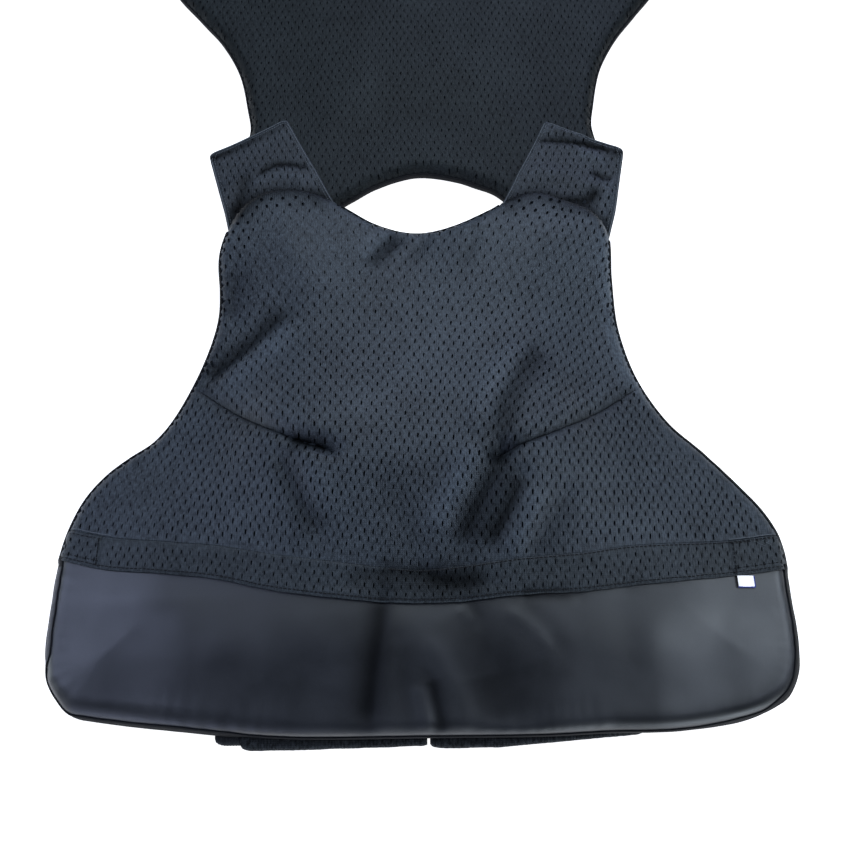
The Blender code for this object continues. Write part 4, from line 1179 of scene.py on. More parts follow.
def tube(line, radius, sides=6, squash=1.0):
    """Vertices and faces of a closed tube along a 3-D line."""
    line = np.asarray(line, float)
    along = unit(np.gradient(line, axis=0))
    side = unit(np.cross(along, (0.0, 0.0, 1.0)))
    up = np.cross(side, along)
    turns = np.arange(sides) / sides * 2 * np.pi
    rings = [p + r * (np.cos(turns)[:, None] * s + squash * np.sin(turns)[:, None] * u)
             for p, r, s, u in zip(line, np.broadcast_to(radius, len(line)), side, up)]
    last = (len(line) - 1) * sides
    faces = [(a + n + sides, a + m + sides, a + m, a + n)
             for a in range(0, last, sides) for n, m in ring_edges(0, sides)]
    faces += [tuple(range(sides)), tuple(range(last, last + sides))[::-1]]
    return np.vstack(rings), faces


def joined(parts):
    vertices, faces, count = [], [], 0
    for points, some in parts:
        vertices.append(points)
        faces += [tuple(k + count for k in f) for f in some]
        count += len(points)
    return np.vstack(vertices), faces


def stitches(line, height_of, spacing, length, radius):
    """A row of short stitches along a line in plan, on the height that a function gives."""
    at = even_steps(line, spacing, closed=False)
    shares, girth, rise = STITCH_SHAPE.T
    parts = []
    for p, along, z in zip(at, unit(np.gradient(at, axis=0)), height_of(at)):
        spots = p + shares[:, None] * length * along
        parts.append(tube(np.column_stack([spots, z + rise * radius]), girth * radius))
    return joined(parts)


def wandering(line, sway, seed):
    """A line in plan that strays a little to both sides."""
    drift = noise_over(*(line.T / WANDER_LENGTH), seed)
    return line + aside_of(line) * (drift * sway)[:, None]


def laid(line, height_of, lift):
    return np.column_stack([line, height_of(line) + lift])


def level_line(level, x_from, x_to, offset=0.0, step=LINE_STEP):
    """A line in plan that follows a hem level between two X."""
    x = np.linspace(x_from, x_to, max(int(abs(x_to - x_from) / step), 3))
    return np.column_stack([x, level(x) + offset])


def cloth_top(panel, lift=0.0):
    """The height of the cloth's upper face on a panel, as a function."""
    return lambda plan: pad_top(panel, plan) + CLOTH_GAP + MESH_THICKNESS + RIB_RAISED * 0.5 + lift


# Binding round the pads: the tape's outer bead, and the part that laps onto the pad. "bead" is how
# full the bead is there, "lap" the width on the pad

BEAD = ((0.5, 0.15), (2.0, 0.2), (2.75, 1.2), (2.8, 2.6), (2.2, 3.9), (1.1, 5.1))
LAP_SHARES = (0.12, 0.3, 0.48, 0.62, 0.85, 1.0, 1.04)
LAP_RISES = (1.0, 1.0, 0.9, 0.8, 0.9, 0.75, 0.05)
NAVY_LAP_ROWS = 4
TapePlace = namedtuple("TapePlace", "x from_hem bead lap")
FRONT_TAPE = table(
    TapePlace,
    (-149, 384, 0.6, 1.2), (-152, 345, 0.6, 1.2), (-160, 281, 0.6, 1.5), (-209, 201, 0.7, 1.6),
    (-249, 131, 0.9, 2.0), (-251, 119, 1.0, 4.4), (-250, 60, 1.0, 4.4), (-249, 51, 0.5, 1.4),
    (-246, 41, 0.2, 0.3), (-231, 23, 0.2, 0.3), (-221, 19, 0.5, 0.9), (-158, 10, 0.6, 1.1),
    (-125, 6.5, 0.55, 0.8), (-112, 5.5, 0.3, 0.3), (0, 3, 0.3, 0.3), (150, 5, 0.3, 0.3),
    (180, 7, 0.4, 0.3), (207, 12, 0.6, 0.8), (224, 17, 0.5, 0.5), (236, 24, 0.8, 1.8),
    (249, 45, 1.0, 3.0), (251, 95, 1.0, 2.6), (250, 131, 0.9, 2.4), (206, 197, 0.9, 2.6),
    (173, 241, 0.7, 1.6), (154, 299, 0.6, 1.2), (149.5, 383, 0.6, 1.2),
)
NECK_TAPE = table(
    TapePlace,
    (70, 411, 0.6, 1.3), (0, 387, 0.6, 1.3), (-70, 411, 0.6, 1.3),
)
BACK_TAPE_BEAD, BACK_TAPE_LAP = 0.3, 0.5
NAVY_TAPE_TO = 122
BINDING_SWAY = 0.35 * MM
OVER_SATIN = 0.8 * MM
OVER_MESH = 2.1 * MM
BEAD_OVER_MESH = 0.8 * MM
SLOPE_STEP = 0.4 * MM
MESH_FADE = 3 * MM
BINDING_SWAY_LENGTH = 13 * MM
LAP_SPREAD = 0.16
LAP_LIFT = 0.1 * MM
TAPE_RETURN = (0.7, 0.3)
TAPE_RETURN_LIFT = 0.05 * MM
TAPE_INSIDE = (0.1 * MM, 3.2 * MM)
NAVY_LAP_FROM = 3 * MM

Tape = namedtuple("Tape", "bead lap")


def tape_along(run, places, panel):
    """The bead's fullness and the lap's width at each point of a run."""
    found = nearest_on(on_panel([(p.x, p.from_hem) for p in places], panel), run, closed=False)
    order = np.argsort(found.travelled)
    at, known_at = travelled_along(run), found.travelled[order]
    bead = np.interp(at, known_at, np.array([p.bead for p in places])[order])
    lap = np.interp(at, known_at, np.array([p.lap for p in places])[order])
    return Tape(bead, lap * MM)


def off_pad(panel, run, out, inset, rise):
    """Points at an inset from a run of the outline, raised square to the pad's upper face."""
    plan = run - out * inset[:, None]
    further = run - out * (inset + SLOPE_STEP)[:, None]
    here = pad_top(panel, plan)
    slope = np.maximum(pad_top(panel, further) - here, 0.0) / SLOPE_STEP
    square = np.hypot(slope, 1.0)
    return np.column_stack([plan + out * (rise * slope / square)[:, None], here + rise / square])


def face_out(item):
    """Turns a closed piece's faces outwards."""
    shape = bmesh.new()
    shape.from_mesh(item.data)
    bmesh.ops.recalc_face_normals(shape, faces=shape.faces)
    shape.to_mesh(item.data)
    shape.free()


def sweep(name, rows, materials, closed, sharp=60):
    """A closed skin through rows of points, each row running the piece's whole length."""
    sides, count = len(rows), len(rows[0])
    steps = ring_edges(0, count) if closed else ring_edges(0, count)[:-1]
    faces = [(n * count + a, n * count + b, m * count + b, m * count + a)
             for n, m in ring_edges(0, sides) for a, b in steps]
    if not closed:
        faces += [tuple(n * count for n in range(sides)),
                  tuple(n * count + count - 1 for n in range(sides))[::-1]]
    made = new_object(name, np.vstack(rows), faces, materials, sharp=sharp)
    face_out(made)
    return made


def build_binding(name, panel, run, tape, mesh_starts, materials, closed):
    """Tape bound over the pad's edge along a run of its outline."""
    out = outward(run) if closed else -aside_of(run)
    base = underside(panel, run, np.zeros(len(run)))
    sway = noise_over(*(run.T / BINDING_SWAY_LENGTH), 21.0)
    on_mesh = smoothstep(mesh_starts(run) / MESH_FADE + 0.5)
    rise = OVER_SATIN + (OVER_MESH - OVER_SATIN) * on_mesh
    rows = []
    for reach, up in BEAD:
        over = on_mesh * BEAD_OVER_MESH * (up > 1)
        reach = reach * MM * tape.bead + over + BINDING_SWAY * sway * tape.bead * (reach > 1)
        rows.append(np.column_stack([run + out * reach[:, None], base + up * MM + over]))
    width = tape.lap * (1 + LAP_SPREAD * np.roll(sway, 7))
    for share, part in zip(LAP_SHARES, LAP_RISES):
        rows.append(off_pad(panel, run, out, width * share, rise * part + LAP_LIFT))
    for share in TAPE_RETURN:
        rows.append(off_pad(panel, run, out, width * share, np.full(len(run), TAPE_RETURN_LIFT)))
    rows.append(np.column_stack([run + out * TAPE_INSIDE[0], base + TAPE_INSIDE[1]]))
    piece = sweep(name, rows, materials, closed)
    if len(materials) > 1:
        low = run[:, 1] < FRONT.hem_y + NAVY_TAPE_TO * MM
        navy = np.zeros((len(rows), len(run)), np.int32)
        navy[:len(BEAD) + NAVY_LAP_ROWS, :] = low & (run[:, 0] < 0) & (tape.lap > NAVY_LAP_FROM)
        slots = np.r_[navy[:, :-1].ravel(), 0, 0]
        piece.data.polygons.foreach_set("material_index", slots.astype(np.int32))
    return piece


# Shoulder straps

# Corners of the left (-1) and the right strap, each an X and a distance from the front's hem
StrapShape = namedtuple("StrapShape", "root_outer bulge end_outer end_inner root_inner")
STRAPS = {
    -1: StrapShape((-147.5, 389), (-152.5, 408), (-169.5, 465.5), (-108.5, 501), (-66, 411)),
    1: StrapShape((149.5, 377), (158, 403), (170.5, 465), (108.5, 495), (68, 410)),
}
STRAP_CORE = 1.0 * MM
STRAP_CORE_INSET = 1.0 * MM
STRAP_CORE_STEP = 5 * MM
STRAP_CORE_GRID_INSET = 2.5 * MM
STRAP_CORE_LIFT = 0.1 * MM
STRAP_CORE_LEAST = 0.3 * MM
STRAP_FACE_LIFT = -0.2 * MM
STRAP_FACE_TURNED = 0.5 * MM
STRAP_FACE_TOP = 1.55 * MM
STRAP_EDGE_LIFT, STRAP_EDGE_RADIUS, STRAP_EDGE_SQUASH = 0.35 * MM, 1.0 * MM, 0.8
STRAP_STITCH = (2.6 * MM, 1.9 * MM, 0.18 * MM)
STRAP_STITCH_INSET = 2.6 * MM
STRAP_CORD_INSET, STRAP_CORD_LIFT, STRAP_CORD_RADIUS = 0.3 * MM, -0.35 * MM, 0.32 * MM
STRAP_ROWS = (60, 110)
STRAP_LEAN = 0.18
STRAP_UNDERSIDE = 14.6 * MM
STRAP_ROOT_GAP = 0.45 * MM
STRAP_CORNER_ROUND = 4 * MM
STRAP_CURL = 1.0 * MM
STRAP_CURL_REACH = 26 * MM
# Painted shade beside the pad and along the free end, painted shade in sunk folds and painted light
# on raised ones
STRAP_ROOT_SHADE = 1.0
STRAP_ROOT_SHADE_REACH = 9 * MM
STRAP_END_SHADE = 1.0
STRAP_END_SHADE_AT = 5.2 * MM
STRAP_END_SHADE_WIDTH = 3 * MM
STRAP_END_SHADE_LOSS = 0.6
STRAP_FOLD_SHADE, STRAP_FOLD_PAINTED_LIGHT = 0.75, 0.35
STRAP_SHADE_LIMITS = (-0.5, 1.0)
STRAP_RIDGE = 1.6 * MM
STRAP_RIDGE_FROM_PAD = 25 * MM
STRAP_RIDGE_WIDTH = 7 * MM
STRAP_SLIT_PITCH = (6.3, 6.6)

# Folds of the straps, in millimetres: positive ones stand up and are painted lighter, negative ones
# are sunk and painted darker
StrapFold = namedtuple("StrapFold", "points width height")
STRAP_FOLDS = {
    -1: table(
        StrapFold,
        (((-128, 438), (-112, 444), (-94, 441)), 4.0, 1.4),
        (((-127, 446), (-118, 453.5), (-108, 455), (-92, 452)), 3.0, -1.5),
        (((-146, 410), (-138, 440)), 5.0, -0.8),
        (((-98, 424), (-86, 440)), 5.0, 0.7),
    ),
    1: table(
        StrapFold,
        (((104, 477), (124, 475), (156, 466)), 2.6, -1.5),
        (((108, 487), (122, 484), (138, 478)), 4.0, 1.6),
        (((132, 466), (142, 460), (152, 454)), 3.6, 1.4),
        (((146, 441), (156, 436)), 3.4, -1.5),
        (((126, 414), (138, 416), (144, 422)), 5.0, -1.4),
        (((148, 402), (153, 416), (158, 432)), 4.0, 1.4),
        (((88, 436), (108, 440)), 6.0, 0.7),
    ),
}


def strap_point(corner):
    return on_panel([corner], FRONT)[0]


def rounded_corner(before, corner, after, radius):
    """Five points that round off a corner."""
    towards = [(p - corner) / np.linalg.norm(p - corner) for p in (before, after)]
    start, end = corner + towards[0] * radius, corner + towards[1] * radius
    return [(1 - t) ** 2 * start + 2 * t * (1 - t) * corner + t * t * end
            for t in np.linspace(0, 1, 5)]


def strap_loop(side):
    """A strap's outline: the pad's edge between its two roots, and three free sides."""
    edge = OUTLINES["front"]
    root = edge + outward(edge) * STRAP_ROOT_GAP
    root_outer, bulge, end_outer, end_inner, root_inner = (strap_point(c) for c in STRAPS[side])
    ends = closest(root, (root_outer, root_inner))
    shared = root[min(ends):max(ends) + 1][::side]
    far = [rounded_corner(shared[-1], end_inner, end_outer, STRAP_CORNER_ROUND / 2),
           rounded_corner(end_inner, end_outer, bulge, STRAP_CORNER_ROUND)]
    free = [even_steps(np.array(line), LINE_STEP, closed=False)
            for line in ((shared[-1], far[0][0]), (far[0][-1], far[1][0]),
                         (far[1][-1], bulge, shared[0]))]
    loop = np.vstack([line[:-1] for line in (shared, free[0], far[0], free[1], far[1], free[2])])
    turned = np.cross(loop, np.roll(loop, -1, axis=0)).sum() < 0
    return (loop[::-1] if turned else loop), free


def strap_underside(plan, side):
    """Flat on the back half with one ridge, the free corners curled up."""
    from_pad = nearest_on(plan, OUTLINES["front"], closed=True).gap
    ridge = STRAP_RIDGE * felt(from_pad - STRAP_RIDGE_FROM_PAD, STRAP_RIDGE_WIDTH)
    height = STRAP_UNDERSIDE + ridge
    for corner in (STRAPS[side].end_outer, STRAPS[side].end_inner):
        away = np.linalg.norm(plan - strap_point(corner), axis=1)
        height = height + STRAP_CURL * smoothstep(1 - away / STRAP_CURL_REACH)
    return height


def near_fold(plan, fold):
    """How much each point feels one of the straps' folds."""
    gap = nearest_on(plan, smooth_line(fold.points, FRONT, LINE_STEP), closed=False).gap
    return felt(gap, fold.width * MM)


def strap_crumple(plan, side):
    total = wave_height(plan, Wave(24, 0.7, 31.0 + side)) + wave_height(plan, Wave(11, 0.3, 37.0))
    for fold in STRAP_FOLDS[side]:
        total = total + fold.height * MM * near_fold(plan, fold)
    return total


def strap_shade(plan, side):
    """Painted shade in sunk folds, at the free end, by the pad; painted light on raised folds."""
    shade = np.zeros(len(plan))
    for fold in STRAP_FOLDS[side]:
        share = STRAP_FOLD_SHADE if fold.height < 0 else STRAP_FOLD_PAINTED_LIGHT
        shade = shade - fold.height * share * near_fold(plan, fold)
    shape = STRAPS[side]
    end = np.array([strap_point(shape.end_outer), strap_point(shape.end_inner)])
    found = nearest_on(plan, end, closed=False)
    less = 1 - STRAP_END_SHADE_LOSS * found.travelled / found.length
    at_end = felt(found.gap - STRAP_END_SHADE_AT, STRAP_END_SHADE_WIDTH)
    from_pad = nearest_on(plan, OUTLINES["front"], closed=True).gap
    shade = shade + STRAP_END_SHADE * at_end * less
    shade = shade + STRAP_ROOT_SHADE * felt(from_pad, STRAP_ROOT_SHADE_REACH)
    return np.clip(shade, *STRAP_SHADE_LIMITS)


def dress(piece, node):
    """Hides the solid that the piece stands for, and gives the piece back."""
    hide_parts(node)
    return piece


def build_strap(side, finish):
    """A strap: black core, pierced face, rolled edge and rows of topstitching."""
    word = "right" if side > 0 else "left"
    loop, (inner_side, end_side, outer_side) = strap_loop(side)

    def core_top(plan):
        return strap_underside(plan, side) + strap_crumple(plan, side) + STRAP_CORE

    def face_top(plan):
        return core_top(plan) + STRAP_FACE_TOP

    within = loop - outward(loop) * STRAP_CORE_INSET
    grid = grid_over(loop.min(0), loop.max(0), STRAP_CORE_STEP)
    cut = cut_cloth(within, [], grid[clear_of(grid, within, STRAP_CORE_GRID_INSET)])
    low = strap_underside(cut.plan, side) + STRAP_CORE_LIFT
    high = np.maximum(core_top(cut.plan), low + STRAP_CORE_LEAST)
    layers = [np.column_stack([cut.plan, z]) for z in (low, high)]
    core = new_object("strap_core_" + word, *closed_cloth(*layers, cut.triangles),
                      [finish["inner"]])
    x, y = staggered(STRAP_ROWS, STRAP_SLIT_PITCH)
    slits = np.column_stack([x, y, np.full(len(x), STRAP_LEAN * side)])
    face = mesh_cloth("strap_face_" + word, FRONT, loop, slits, STRAP_SLIT, 40 + side,
                      finish["strap_knit"], height_of=core_top, lift=STRAP_FACE_LIFT, edge=loop,
                      turned_down=STRAP_FACE_TURNED, shade_of=lambda plan: strap_shade(plan, side))
    free = np.vstack([inner_side, end_side[1:], outer_side[1:]])
    roll = tube(laid(free, core_top, STRAP_EDGE_LIFT), STRAP_EDGE_RADIUS, 8, STRAP_EDGE_SQUASH)
    hem = new_object("strap_edge_" + word, *roll, [finish["strap_knit"]])
    face_out(hem)
    inwards = aside_of(free)
    if ((loop.mean(0) - free) * inwards).sum() < 0:
        inwards = -inwards
    line = wandering(free + inwards * STRAP_STITCH_INSET, 0.35 * MM, 5.0)[2:-2]
    cord = laid(free + inwards * STRAP_CORD_INSET, face_top, STRAP_CORD_LIFT)[1:-1]
    rows = [stitches(line, face_top, *STRAP_STITCH), tube(cord, STRAP_CORD_RADIUS)]
    sewn = new_object("strap_topstitch_" + word, *joined(rows), [finish["pale_thread"]])
    return [dress(piece, "shoulder_strap_" + word)
            for piece in (core, face, hem, sewn)]


# Side straps: two layers with a fold at the front edge. "set_back" draws that edge in towards the
# strap's right end, "rounded" rounds off its left end

FoldedStrap = namedtuple(
    "FoldedStrap", "name cloth slot x_min x_max front depth layer height set_back rounded")
SIDE_STRAPS = table(
    FoldedStrap,
    ("side_strap_left", "web", "mesh_hem", -117, 4.2, -3.6, 52, 2.2, 4.8, 1.6, 3.2),
    ("side_strap_right", "web", "mesh_hem", 5.8, 143.5, -3.6, 52, 2.2, 4.8, 7.0, 2.8),
    ("strap_elastic_left", "elastic", "elastic", -133.5, -117.5, -0.4, 44, 2.1, 4.6, 0, 3.6),
)
ROUNDED_REACH = 8 * MM
SET_BACK_STARTS = 0.32
ELASTIC_RIB = 1.9
ELASTIC_RIB_DEPTH = 0.32 * MM
KNIT_STEP = 1.1
UNEVEN_FROM_HEM = (14 * MM, 4 * MM)
BROAD_LOOPS, FINE_LOOPS = 0.5 * MM, 0.22 * MM
END_DRAWN_IN, END_DRAWN_IN_REACH = 1.2 * MM, 3 * MM
FLAT_BELOW = 0.2 * MM
BEND_STEPS = 10
LAYER_SHARES = (0.15, 0.3, 0.5, 0.7, 0.9)


def folded_section(strap):
    """A flat U in the YZ plane, in metres: two layers joined by a round fold at the front."""
    front = FRONT.hem_y / MM + strap.front
    back, half = front + strap.depth, strap.height / 2
    turns = np.linspace(-np.pi / 2, np.pi / 2, BEND_STEPS + 1)
    outer = [(front + half * (1 - np.cos(t)), half + half * np.sin(t)) for t in turns]
    inside = half - strap.layer
    inner = [(front + half - inside * np.cos(t), half + inside * np.sin(t)) for t in turns[::-1]]
    high = [(front + half + (strap.depth - half) * s, strap.height) for s in LAYER_SHARES]
    section = [(back, 0.0)] + outer + high
    section += [(back, strap.height), (back, strap.height - strap.layer)] + inner
    return np.array(section + [(back, strap.layer)]) * MM


def build_folded_strap(strap, material):
    """A folded strap with uneven knitted loops, or with the elastic's ribs."""
    ribbed = strap.cloth == "elastic"
    section = folded_section(strap)
    step = ELASTIC_RIB / 4 if ribbed else KNIT_STEP
    x = np.arange(strap.x_min, strap.x_max + step / 2, step) * MM
    middle = section[:, 1].mean()
    in_front = ramp(section[:, 0] - FRONT.hem_y, *UNEVEN_FROM_HEM)
    along = (x - x[0]) / (x[-1] - x[0])
    drawn_in = strap.set_back * MM * np.clip((along - SET_BACK_STARTS) / (1 - SET_BACK_STARTS), 0, 1)
    short_of = 1 - np.clip((x - x[0]) / ROUNDED_REACH, 0, 1)
    drawn_in += strap.rounded * MM * (1 - np.sqrt(1 - short_of ** 2))
    rows = []
    for (y, z), front in zip(section, in_front):
        if ribbed:
            sway = -ELASTIC_RIB_DEPTH * (0.5 - 0.5 * np.cos(2 * np.pi * x / (ELASTIC_RIB * MM)))
        else:
            sway = BROAD_LOOPS * noise_over(x / 0.016, y / 0.02, 3.0)
            sway += FINE_LOOPS * noise_over(x / 0.0022, y / 0.0022, z / 0.002)
            sway -= END_DRAWN_IN * (1 - smoothstep((x[-1] - x) / END_DRAWN_IN_REACH))
        shift = sway * front * (z > FLAT_BELOW)
        up = (z - middle) / (strap.height / 2 * MM)
        place = y + drawn_in * front - shift * (1 - abs(up))
        rows.append(np.column_stack([x, place, z + shift * max(up, 0.0)]))
    return sweep(strap.name + "_folded", rows, [material], closed=False, sharp=50)


# Small pieces at the hem

TAG_BEND = 0.5 * MM
TAG_STEPS = 10
TAG_LIFT = 0.25 * MM
PATCH_FRAY = ((228.5, 128.0), (231.0, 129.5), (233.5, 127.0), (236.0, 129.0), (238.5, 127.5))
FRAY_ENDS = 2
FRAY_WAY, FRAY_REACH, FRAY_BEND = (-1.0, 2.6), (2.5, 5.5), (-1.5, 1.5)


def build_tag(height_of, finish):
    """The bare folded tag, with a blue edge and a dark fold."""
    steps = TAG_STEPS + 1
    x = np.linspace(TAG.x_min, TAG.x_max, steps) * MM
    y = FRONT.hem_y + np.linspace(TAG.from_hem_min, TAG.from_hem_max, steps) * MM
    grid = np.array([(a, b) for b in y for a in x])
    bend = TAG_BEND * np.sin((grid[:, 0] - x[0]) / (x[-1] - x[0]) * np.pi)
    low = np.column_stack([grid, height_of(grid) + TAG_LIFT + bend])
    high = low + (0.0, 0.0, TAG_THICKNESS)
    cells = [k for k in range(steps * TAG_STEPS) if k % steps < TAG_STEPS]
    corners = [(k, k + 1, k + steps + 1) for k in cells]
    corners += [(k, k + steps + 1, k + steps) for k in cells]
    tag = new_object("size_tag_cloth", *closed_cloth(low, high, np.array(corners)),
                     [finish["label"]], sharp=40)
    bottom, left, right = grid[:steps], grid[::steps], grid[TAG_STEPS::steps]
    above_tag = TAG_LIFT + TAG_THICKNESS
    blue = [tube(laid(bottom, height_of, above_tag) + (0, -0.1 * MM, 0), 0.42 * MM),
            tube(laid(right, height_of, above_tag) + (0.1 * MM, 0, 0), 0.38 * MM)]
    dark = tube(laid(left, height_of, above_tag) - (0.2 * MM, 0, 0), 0.5 * MM)
    trim = [new_object("size_tag_blue_edge", *joined(blue), [finish["blue_thread"]]),
            new_object("size_tag_dark_edge", *dark, [finish["thread"]])]
    return tag, trim


def build_fray(height_of, finish):
    """Loose ends of thread at the right end of the hem."""
    rng = np.random.default_rng(77)
    shares = np.linspace(0, 1, 8)
    parts = []
    for start_x, start_y in PATCH_FRAY:
        for _ in range(FRAY_ENDS):
            way, reach, bend = (rng.uniform(*r) for r in (FRAY_WAY, FRAY_REACH, FRAY_BEND))
            x = start_x + reach * shares * np.cos(way) + bend * shares ** 2
            y = start_y + reach * shares * np.sin(way)
            line = on_panel(np.column_stack([x, y]), FRONT)
            parts.append(tube(laid(line, height_of, 0.35 * MM), 0.11 * MM, 5))
    return new_object("hem_loose_threads", *joined(parts), [finish["pale_thread"]])


# The whole vest

HEM_ROWS = (0, 6)
HEM_SLIT_PITCH = (6.1, 5.1)
HEM_LEAN = 0.05
HEM_TURNED = 0.7 * MM
HEM_STITCH_INSET = 5 * MM

# Stitches: how far apart they are, their length and their thickness
HEM_STITCH = (3.0 * MM, 2.5 * MM, 0.42 * MM)
PATCH_STITCH = (3.0 * MM, 2.2 * MM, 0.34 * MM)

# Where the rows of stitches run, from the hem's lower or upper line and from a patch's edge
LOWER_ROW, UPPER_ROW = 1.7 * MM, -1.5 * MM
UPPER_ROW_FROM = -20 * MM
PATCH_LOWER_ROW, PATCH_UPPER_ROW = 4.6 * MM, -2.4 * MM
PATCH_ROW_ASIDE, PATCH_UPRIGHT_ASIDE = 2.0 * MM, 2.2 * MM
PATCH_UPRIGHT_SHORT = 3 * MM
BACK_LOWER_ROW, BACK_UPPER_ROW = -2.3 * MM, 1.8 * MM
ROW_SWAY = 0.3 * MM
LINING_STEP = 3 * MM
DART_SWAY = 0.35 * MM
DART_GIRTH, DART_GIRTH_MORE = 0.5 * MM, 0.45 * MM
DART_THICKENS_FROM = 0.6
DART_SUNK = -0.15 * MM
FrontLines = namedtuple("FrontLines", "lower upper")


def hem_ends(loop):
    return loop[:, 0].min() + HEM_STITCH_INSET, loop[:, 0].max() - HEM_STITCH_INSET


def hem_cloth(name, panel, loop, level, finish, seed, seams):
    """A pierced hem band, its rows of slits running along the hem line."""
    x, y = staggered(HEM_ROWS, HEM_SLIT_PITCH)
    y = y + (level(x * MM) - panel.hem_y) * panel.towards_neck / MM
    slits = np.column_stack([x, y, np.full(len(x), HEM_LEAN)])
    return mesh_cloth(name, panel, loop, slits, HEM_SLIT, seed, finish, seams=seams, lift=HEM_RISE,
                      turned_down=HEM_TURNED, shade_of=front_shade if panel is FRONT else None)


def hem_rows(lower, upper, x_ends, on_band):
    """The hem's rows of stitches: along both edges, and round each end patch."""
    low = wandering(level_line(lower, *x_ends, LOWER_ROW), ROW_SWAY, 9.0)
    high = level_line(upper, UPPER_ROW_FROM, x_ends[1], UPPER_ROW)
    rows = [stitches(line, on_band, *HEM_STITCH) for line in (low, high)]
    for x, x_end, side in ((HEM_PATCH_LEFT_X, x_ends[0], -1), (HEM_PATCH_RIGHT_X, x_ends[1], 1)):
        across = sorted((x + side * PATCH_ROW_ASIDE, x_end))
        at = x + side * PATCH_UPRIGHT_ASIDE
        upright = np.linspace((at, lower(x) + PATCH_UPRIGHT_SHORT),
                              (at, upper(x) - PATCH_UPRIGHT_SHORT), 8)
        for line in (level_line(upper, *across, PATCH_UPPER_ROW),
                     level_line(lower, *across, PATCH_LOWER_ROW), upright):
            rows.append(stitches(line, on_band, *PATCH_STITCH))
    return rows


def front_hem(lines, finish):
    """The hem band and its end patches, with their stitches, folded edge, tag and loose threads."""
    lower, upper = lines.lower, lines.upper
    band = past_level(OUTLINES["front"], lambda x: upper(x) - SEAM_GAP, -1, LINE_STEP)
    band = past_level(band, lower, 1, LINE_STEP)
    left_of_patch = past_x(band, HEM_PATCH_RIGHT_X - SEAM_GAP, -1, LINE_STEP)
    pieces = {
        "mesh_hem_band": past_x(left_of_patch, HEM_PATCH_LEFT_X + SEAM_GAP, 1, LINE_STEP),
        "hem_patch_left": past_x(band, HEM_PATCH_LEFT_X, -1, LINE_STEP),
        "hem_patch_right": past_x(band, HEM_PATCH_RIGHT_X, 1, LINE_STEP),
    }
    x_ends = hem_ends(OUTLINES["front"])
    along = [level_line(lower, *x_ends), level_line(upper, *x_ends)]
    for n, (node, outline) in enumerate(pieces.items()):
        piece = hem_cloth(node + "_cloth", FRONT, outline, lower, finish["band"], 61 + n, along)
        pieces[node] = dress(piece, node)
    on_band = cloth_top(FRONT, HEM_RISE)

    def on_pad(plan):
        return pad_top(FRONT, plan) + 0.2 * MM

    fold = wandering(level_line(lower, *x_ends, 0.2 * MM, 1.5 * MM), 0.3 * MM, 2.0)
    fold_edge = new_object("hem_folded_edge", *tube(laid(fold, on_pad, 1.1 * MM), 0.7 * MM, 8),
                           [finish["band"]])
    sewn = new_object("hem_stitches", *joined(hem_rows(lower, upper, x_ends, on_band)),
                      [finish["thread"]])
    low = level_line(upper, x_ends[0] + 3 * MM, -213 * MM, 1.2 * MM, 1.5 * MM)
    low = laid(wandering(low, 0.6 * MM, 4.0), cloth_top(FRONT), 0.1 * MM)
    ridge = wandering(level_line(upper, HEM_PATCH_RIGHT_X, x_ends[1], 0.6 * MM), 0.4 * MM, 4.0)
    threads = [tube(low, 0.28 * MM), tube(laid(ridge, on_band, 0.1 * MM), 0.3 * MM)]
    pale = new_object("hem_pale_thread", *joined(threads), [finish["pale_thread"]])
    fray = build_fray(on_band, finish)
    tag, trim = build_tag(on_pad, finish)
    dress(tag, "size_tag")
    pieces["mesh_hem_band"]
    pieces["hem_patch_left"]
    pieces["hem_patch_right"]


def dart_seams(darts, finish):
    """The darts' sewn lines, with a dark thread sunk in each."""
    parts = []
    for dart in darts:
        line = wandering(dart[1:], DART_SWAY, 6.0)
        share = np.linspace(0, 1, len(line))
        thicker = smoothstep((share - DART_THICKENS_FROM) / (1 - DART_THICKENS_FROM))
        girth = DART_GIRTH + DART_GIRTH_MORE * thicker
        parts.append(tube(laid(line, cloth_top(FRONT), DART_SUNK), girth))
    return new_object("dart_seams", *joined(parts), [finish["thread"]])


def mesh_above(panel, level):
    """How far above the lining's lower edge each point is, as a function."""
    return lambda p: panel.towards_neck * (p[:, 1] - level(p[:, 0]))


def front_bindings(lines, finish):
    loop = OUTLINES["front"]
    left, right = STRAPS[-1], STRAPS[1]
    corners = (left.root_outer, left.root_inner, right.root_inner, right.root_outer)
    left_outer, left_inner, right_inner, right_outer = closest(
        loop, [strap_point(corner) for corner in corners])
    lower_run = loop[np.r_[left_outer + 1:len(loop), 0:right_outer]]
    neck_run = loop[right_inner + 1:left_inner]
    for name, run, places in (("front_binding", lower_run, FRONT_TAPE),
                              ("front_neck_binding", neck_run, NECK_TAPE)):
        piece = build_binding(name + "_tape", FRONT, run, tape_along(run, places, FRONT),
                              mesh_above(FRONT, lines.lower),
                              [finish["tape"], finish["navy_tape"]], closed=False)
        dress(piece, name)


